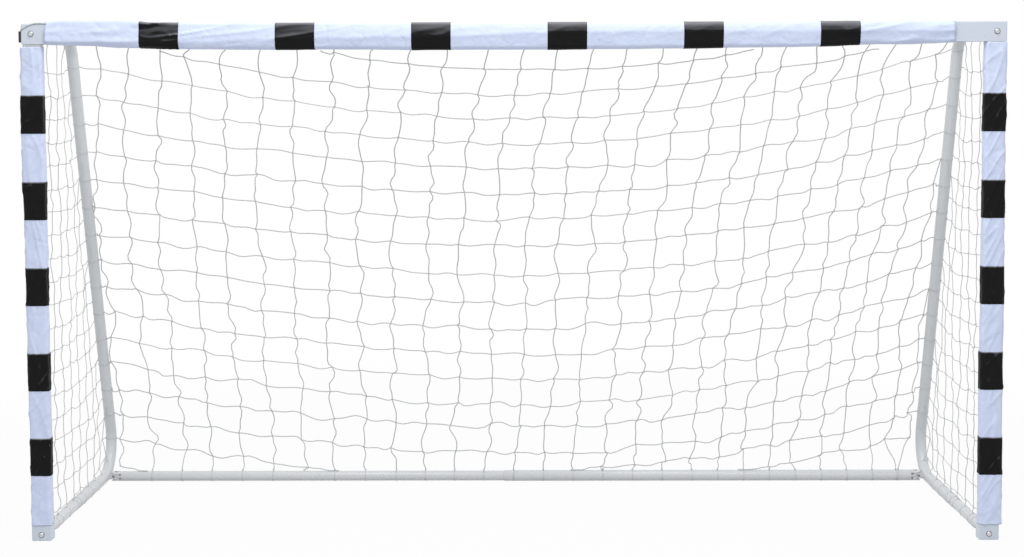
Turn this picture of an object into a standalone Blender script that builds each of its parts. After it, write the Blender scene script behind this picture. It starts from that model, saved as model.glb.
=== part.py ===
"""Folding soccer goal, 3.0 m wide, with striped fabric sleeves and a knotted net.

The front frame is a crossbar and two posts of rectangular tube, joined by sheet steel
brackets. A bent round tube on each side swings inward on vertical pins behind its post, and
the rear ground bar is a telescope, pinned at both rear corners, that shortens as they fold.

Metres, +Z up. The origin is on the ground at the middle of the goal's box, and the open
front of the goal faces -Y.
"""

import math

import bmesh
import bpy
from mathutils import Matrix, Vector

# Overall size
WIDTH = 3.000  # over the corner brackets
HEIGHT = 1.600  # ground to the top of the corner brackets
DEPTH = 0.900  # front bolt heads to the back of the side tubes

# Gap between pieces that touch
SEAT_GAP = 0.0003

# Front frame
BEAM_WIDTH = 0.056  # rectangular tube of the posts and the crossbar, seen from the front
BEAM_DEPTH = 0.036
BEAM_WALL = 0.0012
BEAM_CORNER = 0.004
JOINER_LENGTH = 0.240  # tube inside the crossbar that joins its two halves
JOINER_WALL = 0.0015
CROSSBAR_SPLIT = 0.001  # gap between the crossbar's halves
CROSSBAR_END_GAP = 0.002  # crossbar's end to the post
POST_END_GAP = 0.001  # post's ends to the floors of their brackets
BRACKET_WALL = 0.0025
BRACKET_CORNER = 0.0035
CORNER_BRACKET_LENGTH = 0.158
FOOT_BRACKET_HEIGHT = 0.048

# Fabric sleeves and their sewn bands
SLEEVE_THICKNESS = 0.0015
SLEEVE_CORNER = 0.005
SLEEVE_END_GAP = 0.001
SLEEVE_LEFT_GAP = 0.013  # crossbar sleeve's left end to the crossbar's end
CROSSBAR_SLEEVE_DROP = 0.024  # slack that hangs under the corner brackets' lower edge
POST_SLEEVE_SIDE_SLACK = 0.0045
POST_SLEEVE_BACK_SLACK = 0.003
BAND_THICKNESS = 0.0008
CROSSBAR_BANDS = 6
CROSSBAR_BAND_WIDTH = 0.120
CROSSBAR_BAND_PITCH = 0.4145
POST_BANDS = 5
POST_BAND_WIDTH = 0.117
POST_BAND_PITCH = 0.265
POST_BAND_TOP_MARGIN = 0.155  # white fabric above the highest band

# Round tubes of the side frames and the rear ground bar
TUBE_DIAMETER = 0.038
TUBE_WALL = 0.0012
TOP_BEND_RADIUS = 0.090
REAR_BEND_RADIUS = 0.120
LEG_LEAN = math.radians(17.2)  # slanted leg from the vertical
ARM_STRAIGHT = 0.074  # bent tube from its mouth to the start of the top bend
RAIL_JOINT_BACK = 0.400  # bent tube's mouth on the ground, behind the front plane
TUBE_INSERT = 0.060  # how far the thinner tubes sit in the bent tube
BAR_PAST_TANGENT = 0.033  # rear bar's axis behind the start of the rear bend
BAR_OVERLAP = 0.080  # how far the telescope's tubes overlap with the goal open

# Hinges: a flat tongue between two lugs, on a vertical riveted pin
HINGE_BACK = 0.080  # fold axis behind the front plane
PIN_DIAMETER = 0.008
PIN_CLEARANCE = 0.0003
PIN_HEAD_DIAMETER = 0.015
PIN_HEAD_HEIGHT = 0.004
TONGUE_THICKNESS = 0.008
TONGUE_WIDTH = 0.028
TONGUE_REACH = 0.020  # pin's axis to the end of the tube
LUG_THICKNESS = 0.005
LUG_GAP = 0.0005
PLUG_DEPTH = 0.006  # solid end of a tongued tube
FOLD_GAP = 0.003  # bar beside the bent tube when folded
EYE_GAP = 0.001  # tongue's round eye to the clevis's web

# Screws
BOLT_HEAD_DIAMETER = 0.015
BOLT_HEAD_HEIGHT = 0.004
BOLT_DIAMETER = 0.008
BOLT_LENGTH = 0.014
FOOT_BOLT_HEIGHT = 0.020
SCREW_HEAD_DIAMETER = 0.010
SCREW_HEAD_HEIGHT = 0.0022
SCREW_DIAMETER = 0.006
SCREW_LENGTH = 0.008
CROSSBAR_SCREW_INSET = 0.080  # from the post's centre line
JOINER_SCREW_X = 0.070
JOINT_SCREW_INSET = 0.015  # from the bent tube's mouth

# Net
TWINE = 0.003
BACK_NET_COLUMNS = 20
BACK_NET_ROWS = 12
BACK_NET_SAG = 0.050
BACK_NET_SIDE_PULL = 3  # how close to the side frames the net is drawn up to them
SIDE_NET_PITCH = 0.107

TUBE_SIDES = 16
PIN_STEPS = 12
ARC_STEPS = 8
CORNER_STEPS = 2

# Sizes and places that follow from those above
bracket_width = BEAM_WIDTH + 2 * (SEAT_GAP + BRACKET_WALL)
bracket_depth = BEAM_DEPTH + 2 * (SEAT_GAP + BRACKET_WALL)
inner_tube_diameter = TUBE_DIAMETER - 2 * (TUBE_WALL + SEAT_GAP)
post_x = WIDTH / 2 - bracket_width / 2
front_y = -DEPTH / 2 + BOLT_HEAD_HEIGHT + SEAT_GAP
rail_z = TUBE_DIAMETER / 2
arm_z = HEIGHT - bracket_width / 2
beam_front = SEAT_GAP + BRACKET_WALL
lug_half = TONGUE_THICKNESS / 2 + LUG_GAP + LUG_THICKNESS
pivot_inset = TUBE_DIAMETER + FOLD_GAP
pivot_x = post_x - pivot_inset

half_turn = (math.pi / 2 - LEG_LEAN) / 2
rear_axis_back = DEPTH / 2 - front_y - TUBE_DIAMETER / 2
rear_tangent_back = rear_axis_back - REAR_BEND_RADIUS
rear_corner_back = rear_tangent_back + REAR_BEND_RADIUS / math.tan(half_turn)
top_corner_back = rear_corner_back - (arm_z - rail_z) * math.tan(LEG_LEAN)
arm_joint_back = top_corner_back - TOP_BEND_RADIUS * math.tan(half_turn) - ARM_STRAIGHT
bar_back = rear_tangent_back + BAR_PAST_TANGENT
bar_length = pivot_x + BAR_OVERLAP / 2

for old in list(bpy.data.objects):
    bpy.data.objects.remove(old)

goal = bpy.data.collections.new("folding_soccer_goal")
cutters = bpy.data.collections.new("cutters")
for collection in (goal, cutters):
    bpy.context.scene.collection.children.link(collection)


def material(name, colour, roughness, metallic):
    """One Principled material."""
    made = bpy.data.materials.new(name)
    made.use_nodes = True
    shader = made.node_tree.nodes["Principled BSDF"]
    shader.inputs["Base Color"].default_value = (*colour, 1)
    shader.inputs["Roughness"].default_value = roughness
    shader.inputs["Metallic"].default_value = metallic
    made.diffuse_color = (*colour, 1)
    return made


PAINTED_TUBE = ("tube_paint", (0.80, 0.81, 0.83), 0.40, 0.0)
BRACKET_PAINT = ("bracket_paint", (0.72, 0.73, 0.75), 0.38, 0.2)
ZINC_STEEL = ("zinc_steel", (0.62, 0.63, 0.65), 0.30, 1.0)
WHITE_FABRIC = ("white_fabric", (0.80, 0.82, 0.92), 0.70, 0.0)
BLACK_FABRIC = ("black_fabric", (0.012, 0.012, 0.014), 0.70, 0.0)
NET_TWINE = ("net_twine", (0.78, 0.79, 0.77), 0.80, 0.0)


def back(distance):
    """World Y of a place that lies this far behind the front plane of the brackets."""
    return front_y + distance


def add(name, mesh, finish, place=(0, 0, 0), turn=(0, 0, 0)):
    """A named piece of the goal, with its own material."""
    piece = bpy.data.objects.new(name, mesh)
    goal.objects.link(piece)
    piece.location = place
    piece.rotation_euler = turn
    own = material(f"{name}_{finish[0]}", *finish[1:])
    mesh.materials.clear()
    mesh.materials.append(own)
    return piece


def helper(name, mesh, place=(0, 0, 0), turn=(0, 0, 0)):
    """A hidden shape that is cut from a piece or joined to it."""
    shape = bpy.data.objects.new(name, mesh)
    cutters.objects.link(shape)
    shape.location = place
    shape.rotation_euler = turn
    shape.hide_render = True
    shape.display_type = "WIRE"
    return shape


def combine(piece, shape, operation="DIFFERENCE"):
    """Cut the helper from the piece, or join it with UNION."""
    step = piece.modifiers.new(f"{operation.lower()}_{shape.name}", "BOOLEAN")
    step.operation = operation
    step.solver = "EXACT"
    step.object = shape


def shell(piece, wall):
    """Give an open surface a wall on its inner side."""
    step = piece.modifiers.new("wall", "SOLIDIFY")
    step.thickness = wall
    step.offset = -1
    step.use_even_offset = True


def mesh_from(name, bm):
    """Mesh data from a bmesh, shaded smooth between its sharp edges."""
    bmesh.ops.recalc_face_normals(bm, faces=bm.faces)
    mesh = bpy.data.meshes.new(name)
    bm.to_mesh(mesh)
    bm.free()
    mesh.shade_smooth()
    mesh.set_sharp_from_angle(angle=math.radians(35))
    return mesh


def open_box(name, size, corner, open_sides):
    """A box surface with rounded edges, open on the named sides."""
    bm = bmesh.new()
    bmesh.ops.create_cube(bm, size=1, matrix=Matrix.Diagonal((*size, 1)))
    gone = [f for f in bm.faces if any(f.normal.dot(Vector(side)) > 0.9 for side in open_sides)]
    bmesh.ops.delete(bm, geom=gone, context="FACES")
    folds = [e for e in bm.edges if len(e.link_faces) == 2]
    bmesh.ops.bevel(
        bm,
        geom=folds,
        offset=corner,
        segments=CORNER_STEPS,
        profile=0.5,
        affect="EDGES",
        material=-1,
    )
    mesh = bpy.data.meshes.new(name)
    bm.to_mesh(mesh)
    bm.free()
    return mesh


def rect_tube(name, across, deep, length, wall, corner, finish, place, along_x=False):
    """A hollow rectangular tube, upright, or along X with its width upright."""
    ends = ((0, 0, 1), (0, 0, -1))
    mesh = open_box(name, (across, deep, length), corner, ends)
    turn = (0, math.pi / 2, 0) if along_x else (0, 0, 0)
    tube = add(name, mesh, finish, place, turn)
    shell(tube, wall)
    return tube


def welded(name, guide):
    """The mesh of a curve, with its caps joined on. The curve is removed."""
    bpy.context.view_layer.update()
    seen = guide.evaluated_get(bpy.context.evaluated_depsgraph_get())
    loose = bpy.data.meshes.new_from_object(seen)
    bpy.data.objects.remove(guide)
    bm = bmesh.new()
    bm.from_mesh(loose)
    bpy.data.meshes.remove(loose)
    bmesh.ops.remove_doubles(bm, verts=bm.verts, dist=0.00001)
    return mesh_from(name, bm)


def swept(name, points, diameter, capped):
    """A round bar along the points, as a mesh: a capped rod, or an open skin."""
    curve = bpy.data.curves.new(name, "CURVE")
    curve.dimensions = "3D"
    curve.bevel_depth = diameter / 2
    curve.bevel_resolution = TUBE_SIDES // 2 - 2
    curve.use_fill_caps = capped
    line = curve.splines.new("POLY")
    line.points.add(len(points) - 1)
    for knot, point in zip(line.points, points):
        knot.co = (*point, 1)
    guide = bpy.data.objects.new(name + "_route", curve)
    cutters.objects.link(guide)
    return welded(name, guide)


def round_tube(name, points, diameter):
    """A hollow round tube along the points."""
    tube = add(name, swept(name, points, diameter, capped=False), PAINTED_TUBE)
    shell(tube, TUBE_WALL)
    return tube


def arc(centre, radius, start, end, steps=ARC_STEPS):
    """Points of an arc in a plane, with both its ends."""
    turn = (end - start) / steps
    return [
        (centre[0] + radius * math.cos(start + i * turn), centre[1] + radius * math.sin(start + i * turn))
        for i in range(steps + 1)
    ]


def plate(name, outline, hole, thickness):
    """A flat plate with a round hole at its origin, as a mesh."""
    curve = bpy.data.curves.new(name, "CURVE")
    curve.dimensions = "2D"
    curve.fill_mode = "BOTH"
    curve.extrude = thickness / 2
    rings = [outline, arc((0, 0), hole, 0, 2 * math.pi, PIN_STEPS)[:-1]]
    for ring in rings:
        line = curve.splines.new("POLY")
        line.points.add(len(ring) - 1)
        line.use_cyclic_u = True
        for knot, point in zip(line.points, ring):
            knot.co = (*point, 0, 1)
    guide = bpy.data.objects.new(name + "_outline", curve)
    cutters.objects.link(guide)
    return welded(name, guide)


def strip_with_eye(name, reach, thickness):
    """A plate with a round eye on the pin at its origin, that runs to +Y for its reach."""
    half = TONGUE_WIDTH / 2
    outline = arc((0, 0), half, math.pi, 2 * math.pi) + [(half, reach), (-half, reach)]
    return plate(name, outline, PIN_DIAMETER / 2 + PIN_CLEARANCE, thickness)


def cylinder(name, radius, low, high):
    """A cylinder on Z between two heights, as a mesh."""
    bm = bmesh.new()
    middle = Matrix.Translation((0, 0, (low + high) / 2))
    bmesh.ops.create_cone(
        bm,
        cap_ends=True,
        segments=TUBE_SIDES,
        radius1=radius,
        radius2=radius,
        depth=high - low,
        matrix=middle,
    )
    return mesh_from(name, bm)


def turned(name, profile, finish, place, turn=(0, 0, 0)):
    """A solid turned on Z from (radius, height) points that run down its outer side."""
    mesh = bpy.data.meshes.new(name)
    points = [(radius, 0, height) for radius, height in profile]
    mesh.from_pydata(points, [(i, i + 1) for i in range(len(points) - 1)], [])
    piece = add(name, mesh, finish, place, turn)
    step = piece.modifiers.new("turn", "SCREW")
    step.axis = "Z"
    step.steps = PIN_STEPS
    step.render_steps = PIN_STEPS
    step.use_merge_vertices = True
    step.merge_threshold = 0.00001
    return piece


def button_screw(name, head, rise, shank, length, finish, place, turn):
    """A domed screw whose head stands on the plane of its origin."""
    profile = [
        (0, rise),
        (head * 0.25, rise * 0.92),
        (head * 0.42, rise * 0.6),
        (head * 0.5, rise * 0.15),
        (head * 0.5, 0),
        (shank / 2, 0),
        (shank / 2, -length),
        (0, -length),
    ]
    return turned(name, profile, finish, place, turn)


def drill(name, pieces, radius, place, turn, depth):
    """The same round hole in several pieces, from a little outside to the depth."""
    shape = helper(name, cylinder(name, radius, -depth, BOLT_HEAD_HEIGHT), place, turn)
    for piece in pieces:
        combine(piece, shape)


def hinge_pin(name, x, y, z):
    """A riveted pin with a head over each lug."""
    reach = lug_half + SEAT_GAP
    head = PIN_HEAD_DIAMETER / 2
    flat = head * 0.6
    outer = reach + PIN_HEAD_HEIGHT
    half = [(0, outer), (flat, outer), (head, reach + PIN_HEAD_HEIGHT * 0.4), (head, reach)]
    shank = PIN_DIAMETER / 2
    lower = [(radius, -height) for radius, height in reversed(half)]
    return turned(name, half + [(shank, reach), (shank, -reach)] + lower, ZINC_STEEL, (x, y, z))


def add_lugs(bracket, name, x, z):
    """Two lugs behind a bracket that hold a hinge pin between them."""
    reach = HINGE_BACK - bracket_depth + BRACKET_WALL / 2
    offset = TONGUE_THICKNESS / 2 + LUG_GAP + LUG_THICKNESS / 2
    for level, shift in (("upper", offset), ("lower", -offset)):
        shape = strip_with_eye(f"{name}_{level}_lug", reach, LUG_THICKNESS)
        place = (x, back(HINGE_BACK), z + shift)
        combine(bracket, helper(shape.name, shape, place, (0, 0, math.pi)), "UNION")


def tongued_tube(name, pin, direction, length, diameter):
    """A straight tube with a flat tongue in its closed end, whose eye is on the pin."""
    start = Vector(pin) + direction * TONGUE_REACH
    end = Vector(pin) + direction * length
    tube = add(name, swept(name, (start, end), diameter, capped=True), PAINTED_TUBE)
    plug = direction * PLUG_DEPTH
    bore = swept(f"{name}_bore", (start + plug, end + plug), diameter - 2 * TUBE_WALL, capped=True)
    combine(tube, helper(bore.name, bore))
    flat = strip_with_eye(f"{name}_tongue", TONGUE_REACH + PLUG_DEPTH / 2, TONGUE_THICKNESS)
    turn = (0, 0, math.atan2(direction.y, direction.x) - math.pi / 2)
    combine(tube, helper(flat.name, flat, pin, turn), "UNION")
    return tube


def rounded_route(corners, radii):
    """Points in a plane along straight runs, with an arc of its radius at each inner corner."""
    route = [Vector(corners[0])]
    for before, corner, after, radius in zip(corners, corners[1:], corners[2:], radii):
        corner = Vector(corner)
        come = (Vector(before) - corner).normalized()
        leave = (Vector(after) - corner).normalized()
        opening = come.angle(leave)
        centre = corner + (come + leave).normalized() * radius / math.sin(opening / 2)
        tangent = radius / math.tan(opening / 2)
        first = corner + come * tangent - centre
        sweep = (corner + leave * tangent - centre).angle_signed(first)
        for i in range(ARC_STEPS + 1):
            turn = Matrix.Rotation(sweep * i / ARC_STEPS, 2)
            route.append(centre + turn @ first)
    route.append(Vector(corners[-1]))
    return route


def net_panel(name, bm):
    """A net whose twine runs along every edge of a sheet of faces."""
    mesh = bpy.data.meshes.new(name)
    bm.to_mesh(mesh)
    bm.free()
    panel = add(name, mesh, NET_TWINE)
    step = panel.modifiers.new("twine", "WIREFRAME")
    step.thickness = TWINE
    step.offset = 0
    step.use_boundary = True
    step.use_replace = True
    step.use_even_offset = False
    return panel


def carry(axis, pieces):
    """Hang finished pieces on the empty that marks their joint."""
    bpy.context.view_layer.update()
    for piece in pieces:
        piece.parent = axis
        piece.matrix_parent_inverse = axis.matrix_world.inverted()


HANDS = (("left", -1), ("right", 1))
FACING_FRONT = (math.pi / 2, 0, 0)
FACING_BACK = (-math.pi / 2, 0, 0)
UPRIGHT = (0, 0, 0)

# Posts, crossbar and brackets
beam_y = back(beam_front + BEAM_DEPTH / 2)
post_low = BRACKET_WALL + POST_END_GAP
post_high = HEIGHT - post_low
crossbar_end = post_x - BEAM_WIDTH / 2 - CROSSBAR_END_GAP
crossbar_length = crossbar_end - CROSSBAR_SPLIT / 2

joiner_inset = 2 * (BEAM_WALL + SEAT_GAP)
joiner = rect_tube(
    "crossbar_joiner",
    BEAM_WIDTH - joiner_inset,
    BEAM_DEPTH - joiner_inset,
    JOINER_LENGTH,
    JOINER_WALL,
    BEAM_CORNER - BEAM_WALL,
    ZINC_STEEL,
    (0, beam_y, arm_z),
    along_x=True,
)

for hand, side in HANDS:
    x = side * post_x
    post = rect_tube(
        f"{hand}_post",
        BEAM_WIDTH,
        BEAM_DEPTH,
        post_high - post_low,
        BEAM_WALL,
        BEAM_CORNER,
        PAINTED_TUBE,
        (x, beam_y, (post_low + post_high) / 2),
    )
    crossbar = rect_tube(
        f"{hand}_crossbar",
        BEAM_WIDTH,
        BEAM_DEPTH,
        crossbar_length,
        BEAM_WALL,
        BEAM_CORNER,
        PAINTED_TUBE,
        (side * (CROSSBAR_SPLIT + crossbar_length) / 2, beam_y, arm_z),
        along_x=True,
    )

    size = (CORNER_BRACKET_LENGTH, bracket_depth, bracket_width)
    surface = open_box(f"{hand}_corner_bracket", size, BRACKET_CORNER, ((0, 0, -1), (-side, 0, 0)))
    bracket_x = side * (WIDTH - CORNER_BRACKET_LENGTH) / 2
    corner = add(surface.name, surface, BRACKET_PAINT, (bracket_x, back(bracket_depth / 2), arm_z))
    shell(corner, BRACKET_WALL)
    add_lugs(corner, f"{hand}_corner", x, arm_z)

    size = (bracket_width, bracket_depth, FOOT_BRACKET_HEIGHT)
    surface = open_box(f"{hand}_foot_bracket", size, BRACKET_CORNER, ((0, 0, 1),))
    place = (x, back(bracket_depth / 2), FOOT_BRACKET_HEIGHT / 2)
    foot = add(surface.name, surface, BRACKET_PAINT, place)
    shell(foot, BRACKET_WALL)
    add_lugs(foot, f"{hand}_foot", x, rail_z)

    bolt_hole = BOLT_DIAMETER / 2 + SEAT_GAP
    for spot, bracket, height in (("corner", corner, arm_z), ("foot", foot, FOOT_BOLT_HEIGHT)):
        place = (x, back(-SEAT_GAP), height)
        button_screw(
            f"{hand}_{spot}_bolt",
            BOLT_HEAD_DIAMETER,
            BOLT_HEAD_HEIGHT,
            BOLT_DIAMETER,
            BOLT_LENGTH,
            ZINC_STEEL,
            place,
            FACING_FRONT,
        )
        depth = beam_front + 3 * BEAM_WALL
        drill(f"{hand}_{spot}_bolt_hole", (bracket, post), bolt_hole, place, FACING_FRONT, depth)

    # Flat screw in the bracket's top that holds the crossbar
    place = (side * (post_x - CROSSBAR_SCREW_INSET), beam_y, HEIGHT - SEAT_GAP)
    head = SCREW_HEAD_DIAMETER / 2
    seat = SEAT_GAP - BRACKET_WALL
    shank = SCREW_DIAMETER / 2
    profile = [(0, 0), (head, 0), (head, seat), (shank, seat), (shank, -SCREW_LENGTH), (0, -SCREW_LENGTH)]
    turned(f"{hand}_crossbar_screw", profile, ZINC_STEEL, place)
    name = f"{hand}_crossbar_screw"
    drill(f"{name}_head_hole", (corner,), head + SEAT_GAP, place, UPRIGHT, 2 * BRACKET_WALL)
    drill(f"{name}_shank_hole", (crossbar,), shank + SEAT_GAP, place, UPRIGHT, 2 * BRACKET_WALL)

    # Screw in the crossbar's back that holds the joiner
    place = (side * JOINER_SCREW_X, back(beam_front + BEAM_DEPTH + SEAT_GAP), arm_z)
    button_screw(
        f"{hand}_joiner_screw",
        SCREW_HEAD_DIAMETER,
        SCREW_HEAD_HEIGHT,
        SCREW_DIAMETER,
        SCREW_LENGTH,
        ZINC_STEEL,
        place,
        FACING_BACK,
    )
    depth = SEAT_GAP + BEAM_WALL + SEAT_GAP + 2 * JOINER_WALL
    name = f"{hand}_joiner_screw_hole"
    drill(name, (crossbar, joiner), shank + SEAT_GAP, place, FACING_BACK, depth)

    hinge_pin(f"{hand}_top_hinge_pin", x, back(HINGE_BACK), arm_z)
    hinge_pin(f"{hand}_foot_hinge_pin", x, back(HINGE_BACK), rail_z)

# Fabric sleeves with their bands
crossbar_sleeve_low = HEIGHT - bracket_width - CROSSBAR_SLEEVE_DROP
crossbar_sleeve_high = HEIGHT + SEAT_GAP + SLEEVE_THICKNESS
crossbar_sleeve_left = -crossbar_end + SLEEVE_LEFT_GAP
crossbar_sleeve_right = WIDTH / 2 - CORNER_BRACKET_LENGTH - SLEEVE_END_GAP
crossbar_sleeve_height = crossbar_sleeve_high - crossbar_sleeve_low
crossbar_sleeve_depth = bracket_depth + 2 * (SEAT_GAP + SLEEVE_THICKNESS)
crossbar_sleeve_z = (crossbar_sleeve_high + crossbar_sleeve_low) / 2
crossbar_sleeve_x = (crossbar_sleeve_left + crossbar_sleeve_right) / 2
band_rise = SEAT_GAP + BAND_THICKNESS
band_corner = SLEEVE_CORNER + band_rise
rect_tube(
    "crossbar_sleeve",
    crossbar_sleeve_height,
    crossbar_sleeve_depth,
    crossbar_sleeve_right - crossbar_sleeve_left,
    SLEEVE_THICKNESS,
    SLEEVE_CORNER,
    WHITE_FABRIC,
    (crossbar_sleeve_x, back(bracket_depth / 2), crossbar_sleeve_z),
    along_x=True,
)
for i in range(CROSSBAR_BANDS):
    shift = (i - (CROSSBAR_BANDS - 1) / 2) * CROSSBAR_BAND_PITCH
    rect_tube(
        f"crossbar_band_{i + 1}",
        crossbar_sleeve_height + 2 * band_rise,
        crossbar_sleeve_depth + 2 * band_rise,
        CROSSBAR_BAND_WIDTH,
        BAND_THICKNESS,
        band_corner,
        BLACK_FABRIC,
        (crossbar_sleeve_x + shift, back(bracket_depth / 2), crossbar_sleeve_z),
        along_x=True,
    )

post_sleeve_low = FOOT_BRACKET_HEIGHT + SLEEVE_END_GAP
post_sleeve_high = HEIGHT - bracket_width - SLEEVE_END_GAP
post_sleeve_width = BEAM_WIDTH + 2 * (POST_SLEEVE_SIDE_SLACK + SLEEVE_THICKNESS)
post_sleeve_front = beam_front - SEAT_GAP - SLEEVE_THICKNESS
post_sleeve_back = beam_front + BEAM_DEPTH + POST_SLEEVE_BACK_SLACK + SLEEVE_THICKNESS
post_sleeve_depth = post_sleeve_back - post_sleeve_front
post_sleeve_y = back((post_sleeve_front + post_sleeve_back) / 2)
for hand, side in HANDS:
    x = side * post_x
    rect_tube(
        f"{hand}_post_sleeve",
        post_sleeve_width,
        post_sleeve_depth,
        post_sleeve_high - post_sleeve_low,
        SLEEVE_THICKNESS,
        SLEEVE_CORNER,
        WHITE_FABRIC,
        (x, post_sleeve_y, (post_sleeve_high + post_sleeve_low) / 2),
    )
    highest = post_sleeve_high - POST_BAND_TOP_MARGIN - POST_BAND_WIDTH / 2
    for i in range(POST_BANDS):
        rect_tube(
            f"{hand}_post_band_{i + 1}",
            post_sleeve_width + 2 * band_rise,
            post_sleeve_depth + 2 * band_rise,
            POST_BAND_WIDTH,
            BAND_THICKNESS,
            band_corner,
            BLACK_FABRIC,
            (x, post_sleeve_y, highest - i * POST_BAND_PITCH),
        )

# Side frames, with their nets, and the rear bar's halves
side_route = rounded_route(
    (
        (arm_joint_back, arm_z),
        (top_corner_back, arm_z),
        (rear_corner_back, rail_z),
        (RAIL_JOINT_BACK, rail_z),
    ),
    (TOP_BEND_RADIUS, REAR_BEND_RADIUS),
)


def side_net_sheet(x):
    """Rows and columns of square meshes inside the bent tube, trimmed to its inner side."""
    near = HINGE_BACK
    edge_gap = SEAT_GAP + TWINE / 2
    low = TUBE_DIAMETER + edge_gap
    high = arm_z - TUBE_DIAMETER / 2 - edge_gap
    columns = math.ceil((rear_axis_back - near) / SIDE_NET_PITCH)
    rows = round((high - low) / SIDE_NET_PITCH)
    bm = bmesh.new()
    bmesh.ops.create_grid(bm, x_segments=columns, y_segments=rows, size=0.5)
    for vert in bm.verts:
        across = near + (vert.co.x + 0.5) * columns * SIDE_NET_PITCH
        up = low + (vert.co.y + 0.5) * (high - low)
        vert.co = (x, back(across), up)
    inner = TUBE_DIAMETER / 2 + edge_gap
    behind = Vector((0, math.cos(LEG_LEAN), math.sin(LEG_LEAN)))
    above = Vector((0, math.sin(half_turn), math.cos(half_turn)))
    below = Vector((0, math.cos(half_turn), -math.sin(half_turn)))
    top_centre = Vector((x, 0, arm_z - TOP_BEND_RADIUS))
    top_centre.y = back(top_corner_back - TOP_BEND_RADIUS * math.tan(half_turn))
    rear_centre = Vector((x, back(rear_tangent_back), rail_z + REAR_BEND_RADIUS))
    top_chord = (TOP_BEND_RADIUS - inner) * math.cos(half_turn)
    rear_chord = (REAR_BEND_RADIUS - inner) * math.sin(half_turn)
    leg = Vector((x, back(rear_corner_back), rail_z)) - behind * inner
    for point, outward in (
        (leg, behind),
        (top_centre + above * top_chord, above),
        (rear_centre + below * rear_chord, below),
    ):
        everything = bm.verts[:] + bm.edges[:] + bm.faces[:]
        bmesh.ops.bisect_plane(
            bm, geom=everything, plane_co=point, plane_no=outward, clear_outer=True
        )
    bmesh.ops.remove_doubles(bm, verts=bm.verts, dist=SIDE_NET_PITCH / 6)
    return bm


for hand, side in HANDS:
    x = side * post_x
    fold_axis = bpy.data.objects.new(f"{hand}_fold_axis", None)
    fold_axis.location = (x, back(HINGE_BACK), 0)
    corner_axis = bpy.data.objects.new(f"{hand}_corner_axis", None)
    corner_axis.location = (side * pivot_x, back(bar_back), 0)
    goal.objects.link(fold_axis)
    goal.objects.link(corner_axis)

    route = [(x, back(across), up) for across, up in side_route]
    bent = round_tube(f"{hand}_side_tube", route, TUBE_DIAMETER)
    frame_pieces = [corner_axis, bent]
    outboard = (0, side * math.pi / 2, 0)
    for spot, mouth, height in (("rail", RAIL_JOINT_BACK, rail_z), ("arm", arm_joint_back, arm_z)):
        name = f"{hand}_{spot}"
        pin = (x, back(HINGE_BACK), height)
        length = mouth + TUBE_INSERT - HINGE_BACK
        tube = tongued_tube(f"{name}_tube", pin, Vector((0, 1, 0)), length, inner_tube_diameter)
        place = (x + side * (TUBE_DIAMETER / 2 + SEAT_GAP), back(mouth + JOINT_SCREW_INSET), height)
        screw = button_screw(
            f"{name}_joint_screw",
            SCREW_HEAD_DIAMETER,
            SCREW_HEAD_HEIGHT,
            SCREW_DIAMETER,
            SCREW_LENGTH,
            ZINC_STEEL,
            place,
            outboard,
        )
        hole = SCREW_DIAMETER / 2 + SEAT_GAP
        drill(f"{name}_joint_screw_hole", (bent, tube), hole, place, outboard, SCREW_LENGTH)
        frame_pieces += [tube, screw]

    # Clevis on the bent tube's inner side, which the rear bar's tongue turns in
    pivot = (side * pivot_x, back(bar_back), rail_z)
    heading = (0, 0, -side * math.pi / 2)
    block = strip_with_eye(f"{hand}_rear_clevis", pivot_inset, 2 * lug_half)
    clevis = add(block.name, block, BRACKET_PAINT, pivot, heading)
    slot_reach = TONGUE_WIDTH / 2 + EYE_GAP
    bm = bmesh.new()
    slot_size = (2 * slot_reach, 2 * slot_reach, TONGUE_THICKNESS + 2 * LUG_GAP)
    bmesh.ops.create_cube(bm, size=1, matrix=Matrix.Diagonal((*slot_size, 1)))
    slot = mesh_from(f"{hand}_clevis_slot", bm)
    combine(clevis, helper(slot.name, slot, pivot, heading))
    saddle = swept(f"{hand}_clevis_saddle", route, TUBE_DIAMETER + 2 * SEAT_GAP, capped=True)
    combine(clevis, helper(saddle.name, saddle))
    pin = hinge_pin(f"{hand}_corner_pin", *pivot)

    net = net_panel(f"{hand}_side_net", side_net_sheet(x))
    carry(fold_axis, frame_pieces + [clevis, pin, net])

    diameter = inner_tube_diameter if hand == "left" else TUBE_DIAMETER
    inward = Vector((-side, 0, 0))
    bar = tongued_tube(f"{hand}_rear_bar", pivot, inward, bar_length, diameter)
    carry(corner_axis, [bar])

# Back net, from the crossbar to the rear bar, drawn up to the bent tubes at its sides
net_front = bracket_depth + SEAT_GAP + SLEEVE_THICKNESS + band_rise + SEAT_GAP + TWINE / 2
net_top = Vector((net_front, arm_z))
net_foot = Vector((bar_back, TUBE_DIAMETER + SEAT_GAP + TWINE / 2))
along_tubes = rounded_route(
    (net_top, (top_corner_back, arm_z), (rear_corner_back, rail_z), (rear_tangent_back, rail_z)),
    (TOP_BEND_RADIUS, REAR_BEND_RADIUS * 0.999),
)
side_edge = [p for p in along_tubes if p.y > net_foot.y + TWINE] + [net_foot]


def point_along(route, share):
    """The point at a share of a route's length."""
    lengths = [(b - a).length for a, b in zip(route, route[1:])]
    left = share * sum(lengths)
    for start, end, length in zip(route, route[1:], lengths):
        if left <= length:
            return start.lerp(end, left / length)
        left -= length
    return route[-1]


def middle_edge(share):
    """The sagging line of the net halfway between the side frames."""
    fall = net_foot - net_top
    forward = Vector((fall.y, -fall.x)).normalized()
    return net_top + fall * share + forward * (BACK_NET_SAG * 4 * share * (1 - share))


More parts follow.
